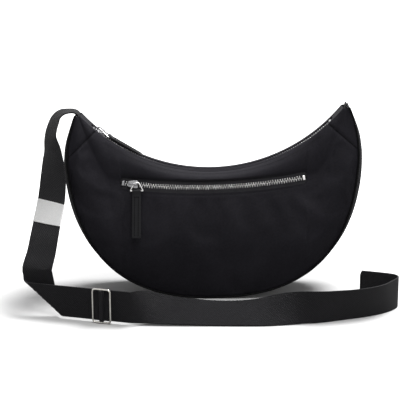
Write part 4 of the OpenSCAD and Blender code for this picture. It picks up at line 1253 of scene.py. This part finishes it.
RING_CORNERS = [(0, -NEAR_HALF, 0), (RING_LEN, -FAR_HALF, 0), (RING_LEN, FAR_HALF, 0), (0, NEAR_HALF, 0)]
TOP_RING_AT = TOP_AT @ Matrix.Translation(((POST_X - NEAR_BACK) * MM, 0, RING_Z * MM))
FRONT_RING_AT = (
    FRONT_AT
    @ Matrix.Translation((POST_X * MM, NEAR_BACK * MM, RING_Z * MM))
    @ Matrix.Rotation(math.radians(-90 - FRONT_ANGLE - LEAN), 4, "Z")
)
for name, at, body, node in (
    ("mouth_ring", TOP_RING_AT, "top_ring_body", "top_pull_ring"),
    ("window_ring", FRONT_RING_AT, "front_ring_body", "front_pull_ring"),
):
    path = [at @ (p * MM) for p in rounded_loop(RING_CORNERS, RING_BEND)]
    sew_in(tube(name, path, RING_WIRE / 2, closed=True, sides=16), NICKEL, body, node)

# %% [markdown]
# ## Leather pull tabs
# A pull tab is one strip of leather folded round the ring's far bar and stitched to itself. A flat
# block would hide that fold and its cut edge, so the strip is laid as a grid along its folded path,
# narrowed at its rounded end, then thickened.

# %% Leather tabs
EYE_R, EYE_WALL = RING_WIRE / 2 + GAP / 2, 0.9
LAYER_T, TAB_CROWN, TAB_NECK, TAB_CORNER, TAB_CELLS = 1.15, 0.12, 5.5, 1.6, 10


def fold_path(length):
    """Folded path of the strip in the XZ plane: out along the top, round the bar and back below."""
    away, eye = (TAB_T - LAYER_T) / 2, EYE_R + EYE_WALL / 2
    lengths = [length - cut for cut in (0, 0.3, 0.8, TAB_CORNER)]
    lengths += [lerp(length - 3, TAB_NECK, k / 12) for k in range(13)]
    top = [(x, away) for x in lengths]
    bend = [(lerp(TAB_NECK, 0, t), lerp(away, eye, ease(t))) for t in (0.25, 0.5, 0.75)]
    loop = [(-eye * math.sin(a), eye * math.cos(a)) for a in [math.pi * k / 10 for k in range(11)]]
    back = [(x, -z) for x, z in reversed(top + bend)]
    return top + bend + loop + back


def pull_tab(name, at, length):
    across_lines = []
    for x, z in fold_path(length):
        past = max(0.0, x - (length - TAB_CORNER)) / TAB_CORNER
        half = TAB_W / 2 - TAB_CORNER * (1 - math.sqrt(max(0.0, 1 - min(past, 1) ** 2)))
        crown = TAB_CROWN if abs(z) < 1 else 0.0
        line = []
        for j in range(TAB_CELLS + 1):
            q = 2 * j / TAB_CELLS - 1
            line.append(Vector((x, q * half, z - math.copysign(crown * q**4, z))) * MM)
        across_lines.append(line)
    tab = lay_grid(name, [list(line) for line in zip(*across_lines)])
    tab.data.transform(at)
    thicken(tab, LAYER_T - TAB_CROWN, 0.22, offset=0.0)
    return tab


top_end = POST_X - NEAR_BACK + RING_LEN + TOP_TAB_LEN
top_rise = top_end**2 / (2 * TAPE_R) + FACING_Z + TAB_T / 2 + 2 * GAP - RING_Z
TOP_TAB_AT = (
    TOP_RING_AT
    @ Matrix.Translation((RING_LEN * MM, 0, 0))
    @ Matrix.Rotation(-math.asin(top_rise / TOP_TAB_LEN), 4, "Y")
)
FRONT_TAB_AT = FRONT_RING_AT @ Matrix.Translation((RING_LEN * MM, 0, 0))
sew_in(pull_tab("mouth_tab", TOP_TAB_AT, TOP_TAB_LEN), LEATHER, "top_tab_body", "top_pull_tab")
sew_in(pull_tab("window_tab", FRONT_TAB_AT, FRONT_TAB_LEN), LEATHER, "front_tab_body", "front_pull_tab")

# %% [markdown]
# ## Stitches
# Topstitching is a row of short threads that dip into the cloth at each end. A dashed line in the
# material would lie flat and catch no light. So one stitch is modelled from a capped tube, and copied
# along every stitched line with its own direction and normal.


# %% Lay stitches along a line
def stitch(length, radius):
    """One stitch along X: a thread that rises in the middle and sinks at both ends."""
    steps = (-1, -0.6, -0.2, 0.2, 0.6, 1)
    path = [Vector((length / 2 * t, 0, radius * (0.75 - 1.3 * t * t))) * MM for t in steps]
    return tube("stitch", path, radius, sides=6)


def stitch_row(name, places, normals, pitch, length, radius, material, body):
    """Stitches at even steps along a path of places with the cloth's normal at each."""
    reach = [0.0]
    for a, b in zip(places, places[1:]):
        reach.append(reach[-1] + (b - a).length / MM)
    count = int(reach[-1] / pitch)
    matrices, k = [], 0
    for n in range(count):
        at = (n + 0.5) * reach[-1] / count
        while k < len(reach) - 2 and reach[k + 1] < at:
            k += 1
        t = (at - reach[k]) / (reach[k + 1] - reach[k])
        place = places[k].lerp(places[k + 1], t)
        out = normals[k].lerp(normals[k + 1], t).normalized()
        along = (places[k + 1] - places[k]).normalized()
        across = out.cross(along).normalized()
        turn = Matrix((along, across, out)).transposed().to_4x4()
        matrices.append(Matrix.Translation(place) @ turn)
    sew_in(copy_to(name, stitch(length, radius), matrices), material, body)


THREAD_R, RAY_REACH, STATION_STEP, ROW_STEP = 0.22, 6, 0.01, 0.004


def panel_point_and_normal(i, v, side):
    """The settled cloth isn't known here, so the point is found on the finished piece by a ray."""
    here = panel_place(i, v, side)
    along = panel_place(i + STATION_STEP, v, side) - panel_place(i - STATION_STEP, v, side)
    down = panel_place(i, v + ROW_STEP, side) - panel_place(i, v - ROW_STEP, side)
    normal = along.cross(down).normalized()
    if normal.y * side < 0:
        normal = -normal
    cloth = front_cloth if side < 0 else back_cloth
    start = here + normal * RAY_REACH * MM
    hit, point, face_normal, _ = cloth.ray_cast(start, -normal, distance=2 * RAY_REACH * MM)
    return (point, face_normal) if hit else (here, normal)


def stitched_line(name, path, side, pitch, length):
    places, normals = zip(*[panel_point_and_normal(i, v, side) for i, v in path])
    stitch_row(name, places, normals, pitch, length, THREAD_R, THREAD, "bag")


def row_at(i, start, step, distance, side):
    """The row v that lies a distance in millimetres along the cloth from the row start."""
    v, gone, last = start, 0.0, panel_place(i, start, side)
    while gone < distance * MM:
        v += step
        here = panel_place(i, v, side)
        gone += (here - last).length
        last = here
    return v


# Rows of stitches on the cloth
MOUTH_ROW, WINDOW_ROW = 5.5, 2.3
window_span = spread(WINDOW_FIRST + 0.1, WINDOW_LAST - 0.1, 6)
mouth_span = spread(FAN - 6, STATIONS - FAN + 6, 4)
for hand, first_row, row_step in (("lower", 2, 0.001), ("upper", 1, -0.01)):
    path = [(i, row_at(i, first_row, row_step, WINDOW_ROW, -1)) for i in window_span]
    stitched_line(f"window_stitches_{hand}", path, -1, 3.2, 2.3)
for side, face in ((-1, "front"), (1, "back")):
    path = [(i, row_at(i, 0, 0.01, MOUTH_ROW, side)) for i in mouth_span]
    stitched_line(f"mouth_stitches_{face}", path, side, 3.4, 2.5)

# %% Stitches of the leather tabs
TAB_ROW, TAB_ROW_FROM, TAB_ROW_END, TAB_SINK, CROSS_AT = 2.3, 7, 2.5, 0.02, 7.5


def tab_stitches(name, at, length, body):
    """Two rows along the tab, and one across it below the ring."""
    out = (at.to_3x3() @ Vector((0, 0, 1))).normalized()

    def row(suffix, points, pitch, stitch_length, radius):
        places = [at @ (Vector((x, y, TAB_T / 2 - TAB_SINK)) * MM) for x, y in points]
        normals = [out] * len(places)
        stitch_row(name + suffix, places, normals, pitch, stitch_length, radius, TAB_THREAD, body)

    along = (TAB_ROW_FROM, length / 3, length / 1.5, length - TAB_ROW_END)
    row("_a", [(x, -TAB_ROW) for x in along], 2.9, 1.7, 0.45)
    row("_b", [(x, TAB_ROW) for x in along], 2.9, 1.7, 0.45)
    row("_over", [(CROSS_AT, y) for y in (-3.6, -1.2, 1.2, 3.6)], 2.4, 1.9, 0.4)


tab_stitches("mouth_tab_stitches", TOP_TAB_AT, TOP_TAB_LEN, "top_tab_body")
tab_stitches("window_tab_stitches", FRONT_TAB_AT, FRONT_TAB_LEN, "front_tab_body")

# %% [markdown]
# ## Lining and pocket bag
# The inside is only seen when a zip is open, but the cloth is there: a lining hung from the mouth, and
# a flat pocket bag behind the window. Dropping both by simulation would tangle them in so narrow a
# room, so they are laid from the same pattern, set in from the outside.

# %% Lining
LINING_T, LINING_DROP, LINING_BOTTOM, LINING_ROOM, LINING_LEAST = 0.6, 4.5, 0.94, 9, 0.75
LINING_WAVE, UPPER_SWELL, LOWER_SWELL, LINING_ENDS = 0.8, 1.3, 0.97, 4


def depth_at(i, share):
    """Half depth of the pattern at a share of the way from mouth to seam."""
    s = slice_at(i)
    upper, upper_d = window_row(s, WINDOW_H / 2)
    lower, lower_d = window_row(s, -WINDOW_H / 2)
    if share <= upper:
        return lerp(MOUTH_EDGE, upper_d, min(1, UPPER_SWELL * share / upper))
    if share <= lower:
        return lerp(upper_d, lower_d, (share - upper) / (lower - upper))
    t = (share - lower) / (1 - lower)
    return lerp(lower_d, seam_half(s), t) + LOWER_SWELL * BULGE * (1 - s[2] ** 2) * math.sin(math.pi * t)


def lining_place(i, side, t):
    s = slice_at(i)
    top = LINING_DROP / (Vector(s[0]) - Vector(s[1])).length
    share = lerp(top, LINING_BOTTOM, t)
    room = LINING_ROOM * (1 - s[3]) + 2 * CLOTH
    deep = max(depth_at(i, share) - room, LINING_LEAST * MOUTH_HALF)
    hang = LINING_WAVE * noise.noise(Vector((i * 0.8, t * 4, side * 2.0))) * math.sin(math.pi * t)
    return slice_place(s, inward(s, crown_at(s)), share, side * (deep - abs(hang)))


lining_stations = spread(LINING_ENDS, STATIONS - LINING_ENDS, 2) + [STATIONS - LINING_ENDS]
DOWN = [k / 16 for k in range(17)]
lining_lines = [[lining_place(i, 1, t) for i in lining_stations] for t in DOWN]
lining_lines += [
    [lining_place(i, 1, 1).lerp(lining_place(i, -1, 1), k / 6) for i in lining_stations] for k in range(1, 6)
]
lining_lines += [[lining_place(i, -1, t) for i in lining_stations] for t in reversed(DOWN)]
lining_cloth = lay_grid("lining_cloth", lining_lines)
thicken(lining_cloth, LINING_T, 0.15)
sew_in(lining_cloth, LINING, "bag", "lining")

# %% Pocket bag
POCKET_DEEP, POCKET_ROOM, POCKET_SLACK = 0.72, 4.0, 3.2
# Shares of a slice: below and above the window, at the fold, and where the slack starts and is full
POCKET_BELOW, POCKET_ABOVE, POCKET_FOLD, SLACK_START, SLACK_OVER = 0.14, 0.004, 0.004, 0.04, 0.1
POCKET_ENDS, POCKET_CELLS = 1, 11


def pocket_place(i, share, d):
    s = slice_at(i)
    below_window = share - window_row(s, -WINDOW_H / 2)[0] - SLACK_START
    slack = POCKET_SLACK * ease(below_window / SLACK_OVER)
    deep = depth_at(i, share) - CLOTH - GAP - slack - d
    return slice_place(s, panel_low(s), share, -deep)


def pocket_column(i):
    """Places from below the window down the front layer, round the fold and up the back one."""
    s = slice_at(i)
    near_end = min(1.0, i - WINDOW_FIRST + POCKET_ENDS, WINDOW_LAST + POCKET_ENDS - i)
    room = lerp(LINING_T + GAP, POCKET_ROOM, near_end)
    low = window_row(s, -WINDOW_H / 2)[0] + POCKET_BELOW
    high = window_row(s, WINDOW_H / 2)[0] - POCKET_ABOVE
    steps = [k / POCKET_CELLS for k in range(POCKET_CELLS + 1)]
    front = [pocket_place(i, lerp(low, POCKET_DEEP, t), 0) for t in steps]
    fold = [pocket_place(i, POCKET_DEEP + POCKET_FOLD, room / 2)]
    back = [pocket_place(i, lerp(POCKET_DEEP, high, t), TAPE_T + room) for t in steps]
    return front + fold + back


pocket_stations = spread(WINDOW_FIRST - POCKET_ENDS, WINDOW_LAST + POCKET_ENDS, 2)
pocket_stations.append(WINDOW_LAST + POCKET_ENDS)
pocket_lines = [list(line) for line in zip(*[pocket_column(i) for i in pocket_stations])]
pocket_cloth = lay_grid("pocket_cloth", pocket_lines[::-1])
thicken(pocket_cloth, LINING_T, 0.12, offset=0.0)
sew_in(pocket_cloth, LINING, "bag", "front_pocket_bag")

# %% [markdown]
# ## Strap
# The strap is a stiff webbing 38 mm wide. It leaves the left horn edge-on, twists as it falls, folds over
# softly on the floor, runs straight through the buckle, leans back in the middle and curls round to its free
# end. A simulated strap would fall another way each time its length changes, so its path is the solid
# model's, chosen from the photograph and followed here in finer steps.

# %% Path of the strap
FOLD_R, FOLD_SLANT, RUN_TURN, BUCKLE_X, BUCKLE_Y = 4, 10, 16, 125, 123.5
BUCKLE_W, BUCKLE_WIRE, BUCKLE_CORNER = 24, 2.2, 4
FOLD_TO_BUCKLE, FOLD_BEFORE, FOLD_AFTER, RUN_ON, RUN_LAST = 2.36, 0.62, 1.35, 0.9, 0.4
RUN_ALONG = Vector((math.cos(math.radians(RUN_TURN)), -math.sin(math.radians(RUN_TURN)), 0))
RUN_OUT = Vector((-math.sin(math.radians(RUN_TURN)), -math.cos(math.radians(RUN_TURN)), 0))
BUCKLE_CLEAR = GAP + BUCKLE_WIRE
BUCKLE_AT = Vector((-BUCKLE_X, -BUCKLE_Y, STRAP_W / 2 + BUCKLE_CLEAR))
UP = Vector((0, 0, 1))
FOLD_IN = math.sin(math.radians(FOLD_SLANT)) * RUN_ALONG - math.cos(math.radians(FOLD_SLANT)) * UP
FOLD_SIDE = math.cos(math.radians(FOLD_SLANT)) * RUN_ALONG + math.sin(math.radians(FOLD_SLANT)) * UP
CREASE = (FOLD_IN + RUN_ALONG).normalized()
CREASE_OUT = (FOLD_IN - RUN_ALONG).normalized()
FOLD_HALF = math.pi * FOLD_R
FOLD_AT = BUCKLE_AT - FOLD_TO_BUCKLE * STRAP_W * RUN_ALONG - FOLD_HALF * CREASE_OUT - 2 * FOLD_R * RUN_OUT
FOLD_START, FOLD_END = -FOLD_BEFORE * STRAP_W, FOLD_AFTER * STRAP_W


def fold_point(s, t):
    """The flat webbing at s along and t across it, wound round the crease of the fold."""
    flat = s * FOLD_IN + t * FOLD_SIDE
    q = flat.dot(CREASE_OUT)
    wind = min(max(q, 0), FOLD_HALF) / FOLD_R
    reach = q if q < 0 else (FOLD_R * math.sin(wind) if q < FOLD_HALF else FOLD_HALF - q)
    return FOLD_AT + flat.dot(CREASE) * CREASE + reach * CREASE_OUT + FOLD_R * (1 - math.cos(wind)) * RUN_OUT


def horn_middle(side, k=1):
    """Middle of the horn, in millimetres, at its tip or at a share k of the way along it."""
    mouth, outline = fan_slice(k, side)[:2]
    return leaned((mouth[0] + outline[0]) / 2, 0, (mouth[1] + outline[1]) / 2) / MM


print("fold at", [round(c) for c in FOLD_AT], "mm, left horn at", [round(c) for c in horn_middle(-1)], "mm")

# %% Points of the path
# Place in shares of half the width, the buckle's y and the horn's height, turn in degrees, and
# gathered width as a share
DROP = [
    (-0.858, 0, 0.955, 0, 0.56), (-0.861, 0, 0.988, 0, 0.56), (-0.873, 0, 1.008, 0, 0.58),
    (-0.908, 0, 1.018, 4, 0.64), (-0.968, 0, 1.010, 14, 0.76), (-1.014, 0, 0.980, 21, 0.88),
    (-1.042, -0.02, 0.930, 23, 0.96), (-1.055, -0.05, 0.867, 27, 1), (-1.040, -0.12, 0.788, 40, 1),
    (-1.031, -0.23, 0.666, 57, 1), (-1.038, -0.34, 0.557, 63, 1), (-1.058, -0.46, 0.464, 63, 1),
    (-1.072, -0.57, 0.389, 66, 1), (-1.086, -0.65, 0.321, 69, 1),
]
drop_end = fold_point(FOLD_START, 0)
tip_z = horn_middle(-1).z
drop_points = [Vector((r[0] * HALF_W, r[1] * BUCKLE_Y, r[2] * tip_z)) for r in DROP]
drop_points += [drop_end, drop_end + STRAP_W / 3 * FOLD_IN]
drop_turns = [r[3] for r in DROP] + [90 - RUN_TURN, 90 - RUN_TURN]
drop_widths = [r[4] for r in DROP] + [1, 1]
# Place in shares of half the width and the buckle's y, and lean in degrees
FLOOR = [
    (-0.30, -1.099, 46), (-0.10, -1.106, 56), (0.06, -1.109, 60), (0.20, -1.112, 59),
    (0.36, -1.108, 50), (0.52, -1.071, 28), (0.69, -1.018, 4), (0.86, -0.931, -6), (1.00, -0.853, -8),
    (1.11, -0.766, -6), (1.195, -0.662, 0), (1.240, -0.552, 0), (1.222, -0.470, 0), (1.152, -0.420, 0),
    (1.085, -0.386, 0), (1.018, -0.355, 0),
]
run_start = fold_point(FOLD_END, 0)
run_stop = BUCKLE_AT + RUN_ON * STRAP_W * RUN_ALONG
floor_points = [Vector((p.x, p.y)) for p in (run_stop - RUN_LAST * STRAP_W * RUN_ALONG, run_stop)]
floor_points += [Vector((x * HALF_W, y * BUCKLE_Y)) for x, y, _ in FLOOR]
floor_leans = [0, 0] + [r[2] for r in FLOOR]


# %% Lines across the webbing
def curve_at(points, k):
    """A smooth curve through a list of places or numbers."""
    last = len(points) - 1
    i = min(int(k), last - 1)
    t = k - i
    a, b, c, d = points[max(i - 1, 0)], points[i], points[i + 1], points[min(i + 2, last)]
    return b + 0.5 * t * ((c - a) + t * ((2 * a - 5 * b + 4 * c - d) + t * (3 * (b - c) + d - a)))


SLOPE_STEP = 0.02


def slope_at(points, k):
    return curve_at(points, min(k + SLOPE_STEP, len(points) - 1)) - curve_at(points, max(k - SLOPE_STEP, 0))


ACROSS = [-0.5, -0.49, -0.47, -0.44, -0.36, -0.24, -0.12, 0, 0.12, 0.24, 0.36, 0.44, 0.47, 0.49, 0.5]


def drop_line(k):
    along = slope_at(drop_points, k).normalized()
    turn = math.radians(curve_at(drop_turns, k))
    hint = Vector((math.sin(turn), -math.cos(turn), 0))
    wide = (hint - hint.dot(along) * along).normalized()
    width = STRAP_W * curve_at(drop_widths, k)
    return [curve_at(drop_points, k) + width * q * wide for q in ACROSS]


CELLS_TO_FLOOR = 3


def floor_line(k):
    p, along = curve_at(floor_points, k), slope_at(floor_points, k).normalized()
    tilt = math.radians(curve_at(floor_leans, k))
    up = Vector((-along.y * math.sin(tilt), along.x * math.sin(tilt), math.cos(tilt)))
    lift = BUCKLE_CLEAR * (1 - ease((k - 1) / CELLS_TO_FLOOR))
    low = Vector((p.x, p.y, lift + STRAP_T / 2 * abs(math.sin(tilt))))
    return [low + STRAP_W / 2 * up - STRAP_W * q * up for q in ACROSS]


# %% All rows of the strap
STEPS, FOLD_STEPS, RUN_STEPS = 8, 64, 14
DROP_COUNT, FLOOR_COUNT = len(drop_points) - 2, len(floor_points) - 1
strap_rows = [drop_line(k / STEPS) for k in range(DROP_COUNT * STEPS)]
for k in range(FOLD_STEPS + 1):
    along = lerp(FOLD_START, FOLD_END, k / FOLD_STEPS)
    strap_rows.append([fold_point(along, STRAP_W * q) for q in ACROSS])
for k in range(1, RUN_STEPS + 1):
    strap_rows.append([run_start.lerp(run_stop, k / RUN_STEPS) - STRAP_W * q * UP for q in ACROSS])
strap_rows += [floor_line(1 + k / STEPS) for k in range(1, (FLOOR_COUNT - 1) * STEPS + 1)]
middle = len(ACROSS) // 2
strap_length = sum((b[middle] - a[middle]).length for a, b in zip(strap_rows, strap_rows[1:]))
print("strap", round(strap_length), "mm long,", len(strap_rows), "rows")


# %% [markdown]
# ## Webbing with thickness
# A curve with a flat bevel would also give a band, but it can't lean, twist and gather by itself. So
# the webbing is laid as a grid with its rows close together at the two selvedges, thickened on both
# sides of its path, and its edges rounded. Points are never let below the floor.


# %% Lay the webbing
def lengthwise(rows):
    """Rows across the webbing in millimetres, turned into lines along it in metres."""
    return [[p * MM for p in line] for line in zip(*rows)]


def ribbon(name, rows, thickness, rounding, lift=0.0):
    """A band of webbing along rows of cross lines, moved lift millimetres off its path."""
    band = lay_grid(name, lengthwise(rows))
    if lift:
        for vertex in band.data.vertices:
            vertex.co += vertex.normal * lift * MM
    thicken(band, thickness, rounding, offset=0.0)
    for vertex in band.data.vertices:
        vertex.co.z = max(vertex.co.z, 0.0)
    return band


strap_webbing = ribbon("strap_webbing", strap_rows, STRAP_T, 0.5)
sew_in(strap_webbing, WEBBING, "bag", "strap")

# %% [markdown]
# ## Things on the strap
# A plain white band wraps the strap below the horn, the free end is turned under and stitched, and the
# right horn holds a short end of the same webbing. The band could be a white stretch of the strap's
# finish, but it stands off the webbing and has edges of its own, so it is a thin sleeve.

# %% White band
BAND_LEN, BAND_SKEW, BAND_FIRST, BAND_STEPS = 30, 9, 10, 24
BAND_OFF, BAND_T, SIDE_OFF, WELD_WITHIN = 0.12, 0.38, 0.45, 0.02
band_turns = BAND_LEN / (drop_points[BAND_FIRST + 1] - drop_points[BAND_FIRST]).length
band_skew = BAND_SKEW / BAND_LEN * band_turns
band_rows = []
for k in range(BAND_STEPS + 1):
    at = BAND_FIRST + band_turns * k / BAND_STEPS
    band_rows.append([drop_line(at + band_skew * q)[j] for j, q in enumerate(ACROSS)])


def sleeve(name, rows, off):
    """A closed sleeve round the webbing: out over one face, and back over the other."""
    flat = lay_grid(name, lengthwise(rows))
    lift = [v.normal * off for v in flat.data.vertices]
    bpy.data.objects.remove(flat)
    columns = list(zip(*rows))
    count = len(rows)
    over = [[p + lift[j * count + n] for n, p in enumerate(line)] for j, line in enumerate(columns)]
    under = [[p - lift[j * count + n] for n, p in enumerate(line)] for j, line in enumerate(columns)]
    left, right = [
        [a + (a - b).normalized() * SIDE_OFF for a, b in zip(edge, inner)]
        for edge, inner in ((columns[0], columns[1]), (columns[-1], columns[-2]))
    ]
    ring = over + [right] + under[::-1] + [left, over[0]]
    band = lay_grid(name, [[p * MM for p in line] for line in ring])
    band.modifiers.new("close", "WELD").merge_threshold = WELD_WITHIN * MM
    apply_all(band)
    thicken(band, BAND_T, 0.12, offset=1.0)
    return band


sew_in(sleeve("band_sleeve", band_rows, STRAP_T / 2 + BAND_OFF), BAND, "bag", "strap_band")

# %% Hem and stub
HEM_LEN, HEM_THIN = 10, 0.1
hem_from = FLOOR_COUNT - HEM_LEN / (floor_points[-1] - floor_points[-2]).length
hem_rows = [floor_line(lerp(hem_from, FLOOR_COUNT, k / 10)) for k in range(11)]
hem = ribbon("strap_hem_webbing", hem_rows, STRAP_T - HEM_THIN, 0.4, lift=-(STRAP_T + HEM_THIN))
sew_in(hem, WEBBING, "bag", "strap_hem")

STUB_LEN, STUB_IN, STUB_SHARE, STUB_FROM, STUB_LEAN = 4, 8, 0.42, 0.9, 0.35
stub_up = ((horn_middle(1) - horn_middle(1, STUB_FROM)).normalized() + Vector((STUB_LEAN, 0, 0))).normalized()
stub_rows = []
for k in range(13):
    at = horn_middle(1) + stub_up * lerp(-STUB_IN, STUB_LEN, k / 12)
    stub_rows.append([at + Vector((0, STUB_SHARE * STRAP_W * q, 0)) for q in ACROSS])
stub = ribbon("stub_webbing", stub_rows, STRAP_T, 0.5)
sew_in(stub, WEBBING, "bag", "strap_stub")

# %% [markdown]
# ## Buckle
# The wire slider buckle is a bent rectangle of nickel wire with a middle bar, and a loop of webbing
# runs over that bar. A cut and bevelled plate would have flat sides, so the frame is a closed curve
# with rounded corners, and a short thicker sleeve at its top middle stands for the joint of the wire.

# %% Buckle frame
BAR_SHARE, KNOB_SHARE = 0.45, 0.58
BUCKLE_H = STRAP_W + 2 * BUCKLE_CLEAR
BUCKLE_Z = STRAP_T / 2 + 2 * GAP + STRAP_T + BUCKLE_WIRE / 2
BUCKLE_FRAME = Matrix.Translation(BUCKLE_AT * MM) @ Matrix.Rotation(math.radians(-RUN_TURN), 4, "Z")
BUCKLE_FRAME = BUCKLE_FRAME @ Matrix.Rotation(math.pi / 2, 4, "X")
bx, by = (BUCKLE_W - BUCKLE_WIRE) / 2, (BUCKLE_H - BUCKLE_WIRE) / 2


def on_buckle(points):
    return [BUCKLE_FRAME @ (Vector(p) * MM) for p in points]


corners = [(x, y, BUCKLE_Z) for x, y in ((-bx, -by), (bx, -by), (bx, by), (-bx, by))]
frame_path = on_buckle(rounded_loop(corners, BUCKLE_CORNER, 10))
frame_wire = tube("frame_wire", frame_path, BUCKLE_WIRE / 2, closed=True, sides=16)
bar_path = on_buckle([(0, lerp(-by, by, k / 8), BUCKLE_Z) for k in range(9)])
bar = tube("bar", bar_path, BAR_SHARE * BUCKLE_WIRE, sides=16)
knob_path = on_buckle([(x, by, BUCKLE_Z) for x in (-1.7, -1.2, 1.2, 1.7)])
knob = tube("knob", knob_path, KNOB_SHARE * BUCKLE_WIRE, sides=16)
sew_in(join("buckle_wire_frame", [frame_wire, bar, knob]), WIRE, "buckle_body", "buckle_frame")

# %% Loop of webbing over the bar
LOOP_SINK, LOOP_W_SHARE, LOOP_THIN = 0.1, 0.99, 0.3
LOOP_IN = BUCKLE_WIRE / 2 + GAP
FOOT_X = BUCKLE_W / 2 - BUCKLE_WIRE
foot_z = STRAP_T / 2 + GAP + STRAP_T / 2 - LOOP_SINK
loop_r = LOOP_IN + STRAP_T / 2
side_view = [(-FOOT_X, foot_z), (-FOOT_X + 2, foot_z), (-loop_r - 1.6, foot_z)]
side_view += [(-loop_r - 0.7, foot_z + 0.2), (-loop_r - 0.1, foot_z + 0.9)]
foot = len(side_view)
for k in range(13):
    a = math.pi * k / 12
    side_view.append((-loop_r * math.cos(a), BUCKLE_Z + loop_r * math.sin(a)))
side_view += [(-x, z) for x, z in reversed(side_view[:foot])]
loop_rows = []
for x, z in side_view:
    row = on_buckle([(x, STRAP_W * q * LOOP_W_SHARE, z) for q in ACROSS])
    loop_rows.append([p / MM for p in row])
loop = ribbon("buckle_loop", loop_rows, STRAP_T - LOOP_THIN, 0.4)
sew_in(loop, WEBBING, "buckle_body", "buckle_webbing")

# %% [markdown]
# The flat sizes say how big each cloth piece was cut, and each is printed beside the area that the piece has
# now.

# %% Flat sizes
def declare(obj, width, length):
    one_face = sum(p.area for p in obj.data.polygons) / 2
    print(obj.name, "flat", width, "x", length, "area now", round(one_face, 4))


declare(strap_webbing, STRAP_W * MM, round(strap_length * MM, 3))
declare(front_cloth, 0.37, 0.21)
declare(back_cloth, 0.37, 0.21)
declare(gusset_cloth, 0.076, 0.72)
declare(lining_cloth, 0.33, 0.35)
declare(pocket_cloth, 0.25, 0.16)
